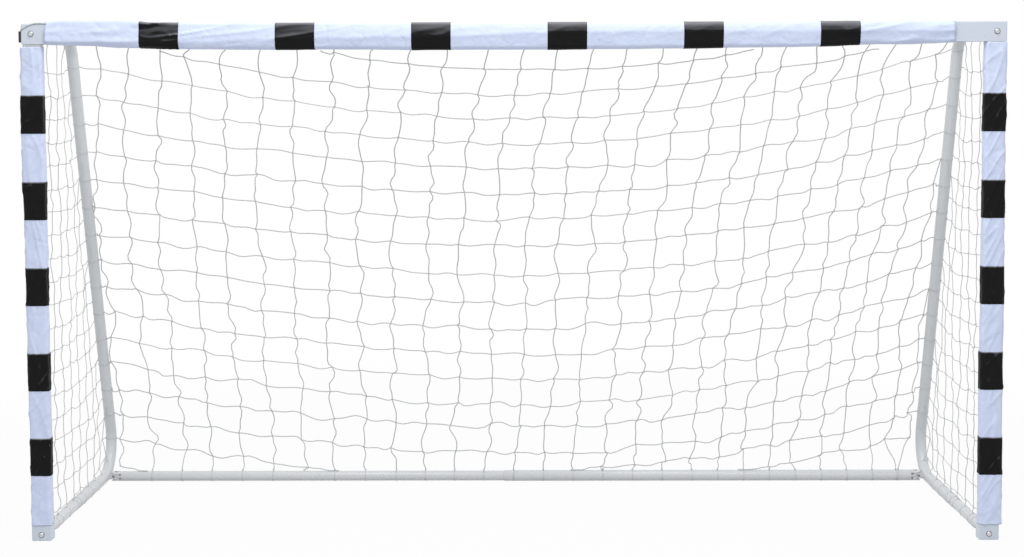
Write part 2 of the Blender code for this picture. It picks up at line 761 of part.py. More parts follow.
bm = bmesh.new()
bmesh.ops.create_grid(bm, x_segments=BACK_NET_COLUMNS, y_segments=BACK_NET_ROWS, size=1)
half_span = post_x - TUBE_DIAMETER / 2 - SEAT_GAP - TWINE / 2
for vert in bm.verts:
    share = (1 - vert.co.y) / 2
    pull = abs(vert.co.x) ** BACK_NET_SIDE_PULL
    place = middle_edge(share).lerp(point_along(side_edge, share), pull)
    vert.co = (vert.co.x * half_span, back(place.x), place.y)
net_panel("back_net", bm)
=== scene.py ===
import math

import bmesh
import bpy
import numpy as np
from mathutils import Matrix, Vector, noise


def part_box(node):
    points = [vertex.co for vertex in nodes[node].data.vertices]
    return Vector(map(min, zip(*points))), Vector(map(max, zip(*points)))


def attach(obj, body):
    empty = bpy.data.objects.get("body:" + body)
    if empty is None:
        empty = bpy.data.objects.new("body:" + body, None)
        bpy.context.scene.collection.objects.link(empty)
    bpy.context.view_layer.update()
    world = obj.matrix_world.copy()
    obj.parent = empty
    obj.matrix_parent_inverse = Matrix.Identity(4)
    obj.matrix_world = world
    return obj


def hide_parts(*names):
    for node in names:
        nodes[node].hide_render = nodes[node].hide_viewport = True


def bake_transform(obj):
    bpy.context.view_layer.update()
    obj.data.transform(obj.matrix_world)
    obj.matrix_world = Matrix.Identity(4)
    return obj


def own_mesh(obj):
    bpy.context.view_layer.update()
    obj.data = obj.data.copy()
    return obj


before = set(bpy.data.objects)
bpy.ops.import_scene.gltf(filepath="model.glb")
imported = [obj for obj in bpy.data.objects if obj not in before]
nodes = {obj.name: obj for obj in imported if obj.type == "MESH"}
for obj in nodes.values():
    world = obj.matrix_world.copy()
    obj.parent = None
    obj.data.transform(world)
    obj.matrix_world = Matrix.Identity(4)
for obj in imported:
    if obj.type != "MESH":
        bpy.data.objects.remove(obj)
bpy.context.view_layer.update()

# Camera.
# It stands five metres in front of the goal at 1.39 m, just under the crossbar, and looks
# slightly down, with the picture cut a little below its centre.
IMAGE_WIDTH = 1024
FOCAL_PIXELS = 1638.1
CENTRE_RISE_PIXELS = 77.5
CAMERA_PLACE = (0.0253, -5.4471, 1.3852)
CAMERA_PITCH = math.radians(90 - 3.766)
CAMERA_YAW = math.radians(0.346)
CAMERA_ROLL = math.radians(-0.160)

lens = bpy.data.cameras.new("camera")
lens.sensor_width = 36.0
lens.lens = FOCAL_PIXELS * lens.sensor_width / IMAGE_WIDTH
lens.shift_y = -CENTRE_RISE_PIXELS / IMAGE_WIDTH
camera = bpy.data.objects.new("camera", lens)
camera.matrix_world = (
    Matrix.Translation(CAMERA_PLACE)
    @ Matrix.Rotation(CAMERA_YAW, 4, "Z")
    @ Matrix.Rotation(CAMERA_PITCH, 4, "X")
    @ Matrix.Rotation(CAMERA_ROLL, 4, "Z")
)
bpy.context.scene.collection.objects.link(camera)
bpy.context.scene.camera = camera
bpy.context.scene.view_settings.view_transform = "Standard"


# Floor and light.
# A plain white studio: a pale floor, soft light from all round and one large lamp high in
# front, so that what faces up is lighter than what faces the camera.
class Wire:
    """An output of a shader node. Arithmetic on it adds Math nodes to its finish."""

    def __init__(self, finish, socket):
        self.finish, self.socket = finish, socket

    def math(self, operation, *terms):
        return self.finish.node("Math", {"operation": operation}, dict(enumerate(terms)))

    def __add__(self, other):
        return self.math("ADD", self, other)

    def __sub__(self, other):
        return self.math("SUBTRACT", self, other)

    def __mul__(self, other):
        return self.math("MULTIPLY", self, other)

    __radd__, __rmul__ = __add__, __mul__

    def wave(self, period):
        return self.math("SINE", self * (2 * math.pi / period))

    def largest(self, other):
        return self.math("MAXIMUM", self, other)

    def smallest(self, other):
        return self.math("MINIMUM", self, other)

    def size(self):
        return self.math("ABSOLUTE", self)


class Finish:
    """A procedural finish: node() adds any shader node to it."""

    def __init__(self, owner):
        owner.use_nodes = True
        self.owner, self.tree = owner, owner.node_tree
        self.tree.nodes.clear()

    def node(self, kind, settings=(), sockets=(), out=0):
        node = self.tree.nodes.new("ShaderNode" + kind)
        for setting, value in dict(settings).items():
            if setting == "stops":
                for element, stop in zip(node.color_ramp.elements, value):
                    element.position, element.color = stop
            else:
                setattr(node, setting, value)
        for name, value in dict(sockets).items():
            if isinstance(value, Wire):
                self.tree.links.new(value.socket, node.inputs[name])
            else:
                node.inputs[name].default_value = value
        return Wire(self, node.outputs[out]) if node.outputs else None

    def part(self, vector, which):
        """The x, y or z of a vector."""
        return self.node("SeparateXYZ", {}, {"Vector": vector}, out=which)

    def blend(self, share, first, second):
        """Mix of two colours."""
        settings = {"data_type": "RGBA"}
        return self.node("Mix", settings, {0: share, 6: first, 7: second}, out=2)

    def cloud(self, place, size, detail=2.0, rough=0.5):
        """Noise whose features are about size metres across."""
        sockets = {"Vector": place, "Scale": 1 / size, "Detail": detail, "Roughness": rough}
        return self.node("TexNoise", {}, sockets)

    def relief(self, height, depth, normal=None):
        """Bump of a height from 0 to 1, depth metres deep."""
        sockets = {"Height": height, "Strength": 1.0, "Distance": depth}
        if normal is not None:
            sockets["Normal"] = normal
        return self.node("Bump", {}, sockets)

    def surface(self, **sockets):
        named = {name.replace("_", " "): value for name, value in sockets.items()}
        shader = self.node("BsdfPrincipled", {}, named)
        self.node("OutputMaterial", {}, {"Surface": shader})
        return self.owner


def new_finish(name):
    """A new material's finish, and the place on the object that its patterns follow."""
    finish = Finish(bpy.data.materials.new(name))
    return finish, finish.node("TexCoord", out=3)


def rgb(red, green, blue):
    """A colour as a picture editor shows it, 0 to 255, in linear light."""
    shares = (red / 255, green / 255, blue / 255)
    return tuple(c / 12.92 if c <= 0.04045 else ((c + 0.055) / 1.055) ** 2.4 for c in shares) + (1,)


def seen_directly(finish):
    """1 for what the camera sees, also in metal and through glass."""
    camera_ray, glossy_ray, through = (finish.node("LightPath", out=k) for k in (0, 3, 6))
    return camera_ray.largest(glossy_ray).largest(through)


LOW_SKY = (0.97, 0.985, 1.0, 1)
AMBIENT = 0.69
FLOOR_SIZE = 30.0
FLOOR_LIFT = 0.95
FLOOR_NEAR, FLOOR_FAR = 1.9, 3.6
PAPER = (0.66, 0.665, 0.67, 1)
WHITE = (1, 1, 1, 1)

world = bpy.data.worlds.new("studio")
bpy.context.scene.world = world
studio = Finish(world)
soft_light = studio.node("Background", {}, {"Color": LOW_SKY, "Strength": AMBIENT})
white_wall = studio.node("Background", {}, {"Color": WHITE, "Strength": 1.0})
sky = studio.node("MixShader", {}, {0: seen_directly(studio), 1: soft_light, 2: white_wall})
studio.node("OutputWorld", {}, {"Surface": sky})

floor_paper, spot = new_finish("floor")
paper = floor_paper.node("BsdfDiffuse", {}, {"Color": PAPER})
glow = floor_paper.node("Emission", {}, {"Color": WHITE, "Strength": 1.0})
away = floor_paper.node("VectorMath", {"operation": "LENGTH"}, {0: spot}, out=1)
fade = {"From Min": FLOOR_NEAR, "From Max": FLOOR_FAR, "To Min": FLOOR_LIFT, "To Max": 1.0}
smooth = {"interpolation_type": "SMOOTHSTEP"}
far = floor_paper.node("MapRange", smooth, {"Value": away, **fade})
lifted = seen_directly(floor_paper) * far
seen = floor_paper.node("MixShader", {}, {0: lifted, 1: paper, 2: glow})
floor_paper.node("OutputMaterial", {}, {"Surface": seen})


def placed(name, bm, finish):
    """The finished bmesh as an object."""
    mesh = bpy.data.meshes.new(name)
    bm.to_mesh(mesh)
    bm.free()
    mesh.materials.append(finish)
    made = bpy.data.objects.new(name, mesh)
    bpy.context.scene.collection.objects.link(made)
    return made


bm = bmesh.new()
bmesh.ops.create_grid(bm, x_segments=1, y_segments=1, size=FLOOR_SIZE / 2)
placed("floor", bm, floor_paper.owner)

LAMP_PLACE, LAMP_TARGET = Vector((0.1, -1.9, 4.5)), Vector((0, 0, 0.9))
LAMP_SIZE, LAMP_POWER = 2.6, 112
light = bpy.data.lights.new("high_lamp", "AREA")
light.shape, light.size, light.energy = "DISK", LAMP_SIZE, LAMP_POWER
high_lamp = bpy.data.objects.new("high_lamp", light)
aim = (LAMP_TARGET - LAMP_PLACE).to_track_quat("-Z", "Y")
high_lamp.matrix_world = Matrix.Translation(LAMP_PLACE) @ aim.to_matrix().to_4x4()
bpy.context.scene.collection.objects.link(high_lamp)


# Round tubes of the side frames and the rear ground bar.
# Steel tube, 38 mm and 35 mm, bent on a machine, its ends pressed flat for the hinge pins, and
# powder coated light grey-white all over.
TUBE_SIDES = 48


class DrawnTube:
    """A round tube made along its route: each step adds a ring to the one before it."""

    def __init__(self, place, heading, diameter, sides=TUBE_SIDES):
        self.place, self.heading = Vector(place), Vector(heading).normalized()
        self.bm = bmesh.new()
        turn = Vector((0, 0, 1)).rotation_difference(self.heading).to_matrix().to_4x4()
        there = Matrix.Translation(self.place) @ turn
        bmesh.ops.create_circle(self.bm, segments=sides, radius=diameter / 2, matrix=there)
        self.ring = self.bm.edges[:]

    def on(self, length=0.0, scale=1.0, flat=None):
        """Carries on straight by length. The new ring is scaled, and pressed to a thickness."""
        made = bmesh.ops.extrude_edge_only(self.bm, edges=self.ring)["geom"]
        verts = [g for g in made if isinstance(g, bmesh.types.BMVert)]
        fresh = set(verts)
        self.ring = [
            g for g in made if isinstance(g, bmesh.types.BMEdge) and fresh.issuperset(g.verts)
        ]
        self.place += self.heading * length
        bmesh.ops.translate(self.bm, verts=verts, vec=self.heading * length)
        factors = scale if isinstance(scale, tuple) else (scale,) * 3
        centred = Matrix.Translation(-self.place)
        bmesh.ops.scale(self.bm, verts=verts, vec=factors, space=centred)
        if flat is not None:
            for vert in verts:
                rise = vert.co.z - self.place.z
                vert.co.z = self.place.z + max(-flat / 2, min(flat / 2, rise))
        return self

    def bend(self, radius, angle, axis, steps):
        axis = Vector(axis)
        centre = self.place + axis.cross(self.heading) * radius
        made = bmesh.ops.spin(
            self.bm, geom=self.ring, cent=centre, axis=axis, angle=angle, steps=steps
        )["geom_last"]
        self.ring = [g for g in made if isinstance(g, bmesh.types.BMEdge)]
        turn = Matrix.Rotation(angle, 3, axis)
        self.place = centre + turn @ (self.place - centre)
        self.heading = turn @ self.heading

    def close(self):
        bmesh.ops.edgeloop_fill(self.bm, edges=self.ring)


SHARP_ANGLE = math.radians(38)


def piece(name, bm, finish, body, replaces=()):
    """A named piece of the goal. It rides on a body, unless two bodies are to share it."""
    bmesh.ops.recalc_face_normals(bm, faces=bm.faces)
    made = placed(name, bm, finish)
    made.data.shade_smooth()
    made.data.set_sharp_from_angle(angle=SHARP_ANGLE)
    if body:
        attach(made, body)
    if replaces:
        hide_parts(*replaces)
    return made


def powder_coat(name, colour, worn):
    """Satin powder coat: orange peel, faint grime and small scuffs."""
    coat, place = new_finish(name)
    grime = coat.cloud(place, 0.16, 4.0, 0.62)
    speck = coat.cloud(place, 0.012, 3.0, 0.6)
    scuff = coat.node(
        "ValToRGB", {"stops": [(0.66, (0, 0, 0, 1)), (0.74, (1, 1, 1, 1))]}, {"Fac": speck}
    )
    marks = scuff * coat.cloud(place, 0.11, 2.0) * 0.7
    dusted = coat.blend(grime * 0.55, rgb(*colour), rgb(*(c * 0.93 for c in colour)))
    tone = coat.blend(marks, dusted, rgb(*worn))
    peel = coat.cloud(place, 0.0021, 2.0, 0.45)
    return coat.surface(
        Base_Color=tone,
        Roughness=0.33 + grime * 0.18 + marks * 0.2,
        Coat_Weight=0.25,
        Coat_Roughness=0.2,
        Normal=coat.relief(peel, 0.00006),
    )


TUBE = 0.038
INNER_TUBE = 0.035
TUBE_WALL = 0.0012
FRONT_Y = -0.4457
POST_X = 1.4692
ARM_Z = 1.5692
RAIL_Z = 0.019
HINGE_BACK = 0.080
ARM_MOUTH_BACK = 0.2993
RAIL_MOUTH_BACK = 0.400
LEG_LEAN = math.radians(17.2)
TOP_BEND = 0.090
REAR_BEND = 0.120
ARM_STRAIGHT = 0.074
LEG_STRAIGHT = 1.3936
RAIL_STRAIGHT = 0.3567
TONGUE_WIDTH = 0.028
TONGUE_THICK = 0.008
TONGUE_REACH = 0.020
PRESSED_LENGTH = 0.034
INSERT = 0.060
LIP, LIP_SHARE = 0.0004, 0.985
MOUTH_DEPTH = 0.05
PRESS_STEPS = 9
TIP_ANGLES = (0, 20, 38, 54, 68, 80)
TIP_BACK = 0.004
HANDS = (("left", -1), ("right", 1))

tube_paint = powder_coat("tube_paint", (219, 221, 223), (174, 176, 178))


def eased(share):
    return share * share * (3 - 2 * share)


def mouth(tube, diameter, deep, leaving):
    """The open end of a tube: its wall, its slightly rounded lip and a length of its inside."""
    inside = 1 - 2 * TUBE_WALL / diameter
    if leaving:
        tube.on(LIP, LIP_SHARE).on(0, inside / LIP_SHARE).on(-deep)
    else:
        tube.on(-deep).on(0, LIP_SHARE / inside).on(LIP, 1 / LIP_SHARE)


def pressed_end(tube, diameter, length=PRESSED_LENGTH, reach=TONGUE_REACH):
    """Presses the tube flat over a short length, and rounds the tongue about its pin."""
    across = abs(tube.heading.y), abs(tube.heading.x), 0

    def press(forward, wide, flat=None):
        tube.on(forward, tuple(wide if a else 1.0 for a in across), flat)

    before = 1.0
    for k in range(1, PRESS_STEPS + 1):
        share = eased(k / PRESS_STEPS)
        wide = 1 - share * (1 - TONGUE_WIDTH / diameter)
        press(length / PRESS_STEPS, wide / before, diameter - share * (diameter - TONGUE_THICK))
        before = wide
    tube.on(reach - TIP_BACK)
    before, gone = 1.0, -TIP_BACK
    for angle in map(math.radians, TIP_ANGLES):
        forward, wide = TONGUE_WIDTH / 2 * math.sin(angle), math.cos(angle)
        press(forward - gone, wide / before)
        before, gone = wide, forward
    tube.close()


for hand, side in HANDS:
    x = side * POST_X
    body = f"{hand}_side_frame"
    inside = (x, FRONT_Y + ARM_MOUTH_BACK + MOUTH_DEPTH, ARM_Z)
    bent = DrawnTube(inside, (0, 1, 0), TUBE - 2 * TUBE_WALL)
    mouth(bent, TUBE, MOUTH_DEPTH, leaving=False)
    bent.on(ARM_STRAIGHT - LIP)
    bent.bend(TOP_BEND, math.pi / 2 - LEG_LEAN, (-1, 0, 0), 20)
    bent.on(LEG_STRAIGHT)
    bent.bend(REAR_BEND, math.pi / 2 + LEG_LEAN, (-1, 0, 0), 28)
    bent.on(RAIL_STRAIGHT - LIP)
    mouth(bent, TUBE, MOUTH_DEPTH, leaving=True)
    name = f"{hand}_side_tube"
    piece(f"{name}_coated", bent.bm, tube_paint, body, [name])

    for spot, back, height in (("arm", ARM_MOUTH_BACK, ARM_Z), ("rail", RAIL_MOUTH_BACK, RAIL_Z)):
        start = FRONT_Y + back + INSERT
        tube = DrawnTube((x, start, height), (0, -1, 0), INNER_TUBE)
        pressed_from = FRONT_Y + HINGE_BACK + TONGUE_REACH + PRESSED_LENGTH
        tube.on(start - pressed_from)
        pressed_end(tube, INNER_TUBE)
        name = f"{hand}_{spot}_tube"
        piece(f"{name}_coated", tube.bm, tube_paint, body, [name])

BAR_PIVOT_X = 1.4282
BAR_Y = 0.3440
BAR_PAST_MIDDLE = 0.040
BAR_PRESSED_LENGTH = 0.0012
BAR_TONGUE_REACH = 0.0150
BAR_MOUTH_DEPTH = 0.12
CHEEK_SIDES = 7
CHEEK_REACH = 0.0185
CHEEK_NOSE = 0.6
PIN_HEAD_HOLE = 0.0082


def cheek_outline(radius, back):
    """A cheek of the bar's slotted end from above, as (distance past the pin, across)."""
    turns = 2 * math.pi / TUBE_SIDES * np.arange(-CHEEK_SIDES, CHEEK_SIDES + 1)
    end = [(-back, radius * math.sin(turn)) for turn in turns]
    wide = end[-1][1]
    side = [(x, wide) for x in np.linspace(-back, 0, 5)[1:-1]]
    nose = []
    for turn in np.linspace(math.pi / 2, -math.pi / 2, 17):
        off = math.copysign(abs(math.sin(turn)) ** CHEEK_NOSE, turn)
        nose.append((CHEEK_REACH * max(0.0, math.cos(turn)) ** CHEEK_NOSE, wide * off))
    return np.array(end + side + nose + [(x, -y) for x, y in reversed(side)])


def add_cheeks(tube, diameter, pin, side, back):
    """Carries the round wall on over and under the clevis, with a hole for each pin head."""
    outline = cheek_outline(diameter / 2, back)
    around, across = len(outline), 5
    older = set(tube.bm.faces)
    grid = bmesh.ops.create_grid(tube.bm, x_segments=around, y_segments=across, size=0.5)
    for vert in grid["verts"]:
        i, k = round((vert.co.x + 0.5) * around) % around, round((vert.co.y + 0.5) * across)
        edge = outline[i]
        hole = edge / np.linalg.norm(edge) * PIN_HEAD_HOLE
        past, off = hole + (edge - hole) * k / across
        rise = math.sqrt((diameter / 2) ** 2 - off**2)
        vert.co = Vector(pin) + Vector((side * past, off, rise))
    bmesh.ops.remove_doubles(tube.bm, verts=grid["verts"], dist=1e-6)
    above = [f for f in tube.bm.faces if f not in older]
    bmesh.ops.recalc_face_normals(tube.bm, faces=above)
    bmesh.ops.solidify(tube.bm, geom=above, thickness=TUBE_WALL)
    cheek = [f for f in tube.bm.faces if f not in older]
    copy = bmesh.ops.duplicate(tube.bm, geom=cheek)["geom"]
    below = [g for g in copy if isinstance(g, bmesh.types.BMVert)]
    bmesh.ops.scale(tube.bm, verts=below, vec=(1, 1, -1), space=Matrix.Translation(-Vector(pin)))


for (hand, side), diameter in zip(HANDS, (INNER_TUBE, TUBE)):
    inside = (side * (BAR_MOUTH_DEPTH - BAR_PAST_MIDDLE), BAR_Y, RAIL_Z)
    bar = DrawnTube(inside, (side, 0, 0), diameter - 2 * TUBE_WALL)
    mouth(bar, diameter, BAR_MOUTH_DEPTH, leaving=False)
    pressed_from = BAR_PIVOT_X - BAR_TONGUE_REACH - BAR_PRESSED_LENGTH
    bar.on(pressed_from + BAR_PAST_MIDDLE - LIP)
    pressed_end(bar, diameter, BAR_PRESSED_LENGTH, BAR_TONGUE_REACH)
    pin = (side * BAR_PIVOT_X, BAR_Y, RAIL_Z)
    add_cheeks(bar, diameter, pin, side, BAR_TONGUE_REACH + BAR_PRESSED_LENGTH)
    name = f"{hand}_rear_bar"
    piece(f"{name}_coated", bar.bm, tube_paint, f"{hand}_bar_half", [name])


# Posts and crossbar under the fabric.
# The same rectangular steel tube, powder coated, with a joiner tube inside the crossbar. They
# keep the solids of the CAD model.
def refinish(names, finish):
    for name in names:
        for slot in nodes[name].material_slots:
            slot.material = finish


refinish(["crossbar_joiner"], tube_paint)
for hand, _ in HANDS:
    refinish([f"{hand}_post", f"{hand}_crossbar"], tube_paint)


# Corner brackets, foot brackets and the clevises at the rear corners.
# Folded sheet steel, painted a cooler grey than the tubes, with the hinge lugs welded on behind.
bracket_paint = powder_coat("bracket_paint", (211, 219, 231), (150, 155, 163))
for hand, _ in HANDS:
    refinish([f"{hand}_corner_bracket", f"{hand}_foot_bracket"], bracket_paint)
    refinish([f"{hand}_rear_clevis"], tube_paint)


# Screws, bolts and hinge pins.
# Bright zinc plated steel: button heads with a hexagon socket in front of the brackets, small
# button screws in the tubes, and riveted pins in the hinges.
def grained(name, grain, dark, light, dull, varies, depth, marks=None, **sockets):
    """Colour and gloss that vary with a grain of (size, detail, roughness), or with finer marks."""
    finish, place = new_finish(name)
    tone = finish.cloud(place, *grain)
    return finish.surface(
        Base_Color=finish.blend(tone, rgb(*dark), rgb(*light)),
        Roughness=dull + tone * varies,
        Normal=finish.relief(finish.cloud(place, *marks) if marks else tone, depth),
        **sockets,
    )


zinc_plate = grained(
    "zinc_plating", (0.004, 3.0, 0.6), (196, 199, 204), (222, 222, 218), 0.24, 0.22, 0.00003,
    marks=(0.0006, 2.0), Metallic=1.0,
)
# Dark steel for the washers: its darkness is painted shade, the shadowed ring round each bolt head.
shade_ring_steel = grained(
    "black_oxide", (0.002, 3.0, 0.6), (96, 99, 104), (126, 128, 132), 0.42, 0.2, 0.00003,
    Metallic=0.6,
)


def hexagon(tube, across):
    """Moves the last ring onto a hexagon of that width across its corners."""
    turn = Vector((0, 0, 1)).rotation_difference(tube.heading).to_matrix()
    for vert in {v for edge in tube.ring for v in edge.verts}:
        spot = turn.transposed() @ (vert.co - tube.place)
        angle = math.atan2(spot.y, spot.x) % (math.pi / 3) - math.pi / 6
        reach = across / 2 * math.cos(math.pi / 6) / math.cos(angle)
        flat = Vector((spot.x, spot.y, 0)).normalized() * reach
        vert.co = tube.place + turn @ (flat + Vector((0, 0, spot.z)))


SHANK_SHARE, WASHER_HOLE = 0.45, 0.6
DOME = ((1.0, 0.22), (0.965, 0.42), (0.87, 0.66), (0.74, 0.84), (0.58, 0.95))


def screw(name, place, outward, radius, rise, body):
    """A domed head with a hexagon socket that replaces the CAD's plain one, and its shank."""
    outward = Vector(outward)
    head = DrawnTube(Vector(place) - outward * 0.004, outward, 2 * radius * SHANK_SHARE, sides=24)
    head.on(0.004).on(0, 1 / SHANK_SHARE)
    before, risen = 1.0, 0.0
    for wide, up in DOME:
        head.on(up * rise - risen, wide / before)
        before, risen = wide, up * rise
    head.on(0.03 * rise)
    hexagon(head, radius * 0.95)
    head.on(-0.62 * rise).on(-0.08 * rise, 0.55).close()
    piece(f"{name}_head", head.bm, zinc_plate, body, [name])


def shade_washer(name, place, outward, radius, thick, body):
    """A flat washer under a head, with a slight bevel round its edge. Its dark colour is painted
    shade: the shadowed ring round the head.
    """
    made = DrawnTube(place, outward, 2 * radius * WASHER_HOLE, sides=36)
    made.on(0, 1 / WASHER_HOLE).on(thick * 0.7).on(thick * 0.3, 0.96).on(0, WASHER_HOLE)
    piece(f"{name}_washer", made.bm, shade_ring_steel, body)


BOLT_RADIUS, BOLT_RISE = 0.0075, 0.004
WASHER_RADIUS, WASHER_THICK = 0.0088, 0.0011
SCREW_RADIUS, SCREW_RISE = 0.005, 0.0022
for hand, side in HANDS:
    for spot in ("corner_bolt", "foot_bolt", "rail_joint_screw", "arm_joint_screw"):
        name = f"{hand}_{spot}"
        low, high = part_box(name)
        centre = (low + high) / 2
        if spot.endswith("bolt"):
            seat, ahead = (centre.x, low.y + BOLT_RISE, centre.z), (0, -1, 0)
            screw(name, seat, ahead, BOLT_RADIUS, BOLT_RISE, "front_frame")
            # The dark washer under each bolt head is painted shade of the ring round the head.
            shade_washer(name, seat, ahead, WASHER_RADIUS, WASHER_THICK, "front_frame")
        else:
            face = high.x - SCREW_RISE if side > 0 else low.x + SCREW_RISE
            seat, body = (face, centre.y, centre.z), f"{hand}_side_frame"
            screw(name, seat, (side, 0, 0), SCREW_RADIUS, SCREW_RISE, body)
hidden_ends = ("_pin", "crossbar_screw", "joiner_screw")
refinish([name for name in nodes if name.endswith(hidden_ends)], zinc_plate)


# Crossbar sleeve and its bands.
# A strip of cool white coated nylon, 2.77 m long, sewn to a tube behind the crossbar. It lies on
# the top, is creased along the front and hangs slack below. Six black bands are sewn on.
AROUND = 64


def travelled(route):
    """How far along a route each of its points lies."""
    return np.concatenate([[0], np.cumsum(np.linalg.norm(np.diff(route, axis=0), axis=1))])


def on_route(route, lengths, places):
    """Points of a route, at places on its lengths."""
    return np.stack([np.interp(places, lengths, column) for column in route.T], axis=-1)


def rounded(outline):
    """Points evenly along a closed outline, with its corners rounded as cloth rounds them."""
    outline = np.vstack([outline, outline[:1]])
    lengths = travelled(outline)
    points = on_route(outline, lengths, np.linspace(0, lengths[-1], AROUND + 1)[:-1])
    return (np.roll(points, 1, axis=0) + 2 * points + np.roll(points, -1, axis=0)) / 4


def table(*pairs):
    """A smooth curve through (place, value) pairs, eased between them."""
    places, values = zip(*pairs)

    def look_up(place):
        k = int(np.clip(np.searchsorted(places, place) - 1, 0, len(places) - 2))
        share = np.clip((place - places[k]) / (places[k + 1] - places[k]), 0, 1)
        return values[k] + (values[k + 1] - values[k]) * eased(share)

    return look_up


def soft_noise(*place):
    return noise.noise(Vector(place))


def fold(value, sharp):
    """A ridge where the noise crosses zero, from 0 to 1."""
    return max(0.0, 1 - abs(value) * sharp) ** 2


CLOTH = 0.0010
BAND_CLOTH = 0.0009
BAND_STEPS = 26
CREASE_SHARE = 0.55
CREASE_HEIGHT = table(
    (-1.43, 1.545), (-1.34, 1.5443), (-1.19, 1.546), (-0.93, 1.5437), (-0.80, 1.550),
    (-0.52, 1.5548), (-0.38, 1.5565), (-0.10, 1.5603), (0.04, 1.5677), (0.34, 1.5715),
    (1.341, 1.571),
)
HEM_HEIGHT = table(
    (-1.43, 1.5362), (-1.30, 1.533), (-1.15, 1.5262), (-0.95, 1.5215), (-0.60, 1.5200),
    (-0.25, 1.5180), (0.15, 1.5178), (0.45, 1.5198), (0.85, 1.5235), (1.15, 1.532),
    (1.341, 1.5355),
)
CREST_HEIGHT = table(
    (-1.43, 1.6055), (-1.37, 1.6095), (-1.19, 1.609), (-1.10, 1.6015), (-0.9, 1.6), (1.341, 1.6)
)


def crossbar_section(x):
    """The sleeve's outline at x, as (distance behind the front plane, height)."""
    crest, crease, hem = CREST_HEIGHT(x), CREASE_HEIGHT(x), HEM_HEIGHT(x)
    hem += 0.0014 * soft_noise(x * 7, 2.1, 0)
    crease += 0.0016 * soft_noise(x * 6, 0, 7.7)
    bulge = 0.0085 + 0.0022 * soft_noise(x * 5, 9.0, 0)
    behind = [(0.0440, 1.5690), (0.0440, 1.5990), (0.0400, crest)]
    edge = [(0.0080, crest + 0.0006), (0.0005, crest - 0.0010)]
    front = [(-bulge * 0.55, (crest + crease) / 2 + 0.003), (-bulge, crease)]
    under = [(-bulge * 0.86, crease - 0.0035), (-bulge * 0.30, hem + 0.0076)]
    slack = [(0.0020, hem + 0.0030), (0.0085, hem + 0.0006), (0.0180, hem), (0.0300, hem)]
    return rounded(behind + edge + front + under + slack + [(0.0420, hem + 0.0050)])


def crossbar_wrinkle(x, step):
    """How far the cloth stands off at a step around the sleeve: 0 and AROUND are behind."""
    share = step / AROUND
    front = math.sin(math.pi * np.clip((share - 0.25) / 0.55, 0, 1))
    slack = math.exp(-(((x + 1.15) / 0.42) ** 2)) + 0.8 * math.exp(-(((x - 1.2) / 0.25) ** 2))
    lean = x * 5.5 + share * 5.0
    long_folds = fold(soft_noise(lean, share * 2.2 - x * 0.6, 3.0), 3.2)
    long_folds *= 1 - 0.85 * math.exp(-(((share - CREASE_SHARE) / 0.07) ** 2))
    crumple = soft_noise(x * 26, share * 11, 1.0) * 0.5
    crumple += soft_noise(x * 60, share * 23, 5.0) * 0.25
    return front * (long_folds * (0.0012 + 0.0042 * slack) + crumple * (0.0009 + 0.0012 * slack))


def cloth_tube(places, section, wrinkle, at, lift=0.0):
    """A flat cut of cloth, bent round and sewn to a tube. Its UV map is the flat cut in metres."""
    places = np.asarray(places)
    rings = np.array([at(p, section(p)) for p in places])
    forward = np.gradient(rings, axis=0)
    sideways = (np.roll(rings, -1, axis=1) - np.roll(rings, 1, axis=1)) / 2
    off = np.cross(sideways, forward)
    off /= np.linalg.norm(off, axis=2, keepdims=True)
    centre = rings.mean(axis=1, keepdims=True)
    if ((rings - centre) * off).sum() < 0:
        off = -off
    height = np.array([[wrinkle(p, k) for k in range(AROUND)] for p in places])
    rings = rings + off * (height[:, :, None] + lift)
    girth = np.linalg.norm(np.roll(rings[0], -1, axis=0) - rings[0], axis=1).sum()

    bm, steps = bmesh.new(), len(places) - 1
    bmesh.ops.create_grid(bm, x_segments=steps, y_segments=AROUND, size=0.5)
    cut = bm.loops.layers.uv.new("flat_cut")
    for vert in bm.verts:
        i, k = round((vert.co.x + 0.5) * steps), round((vert.co.y + 0.5) * AROUND)
        for loop in vert.link_loops:
            loop[cut].uv = (places[i], k / AROUND * girth)
        vert.co = rings[i, k % AROUND]
    bmesh.ops.remove_doubles(bm, verts=bm.verts, dist=1e-6)
    return bm, float(girth)


def thicken(cloth, thickness, offset=-1.0):
    solid = cloth.modifiers.new("thickness", "SOLIDIFY")
    solid.thickness, solid.offset = thickness, offset


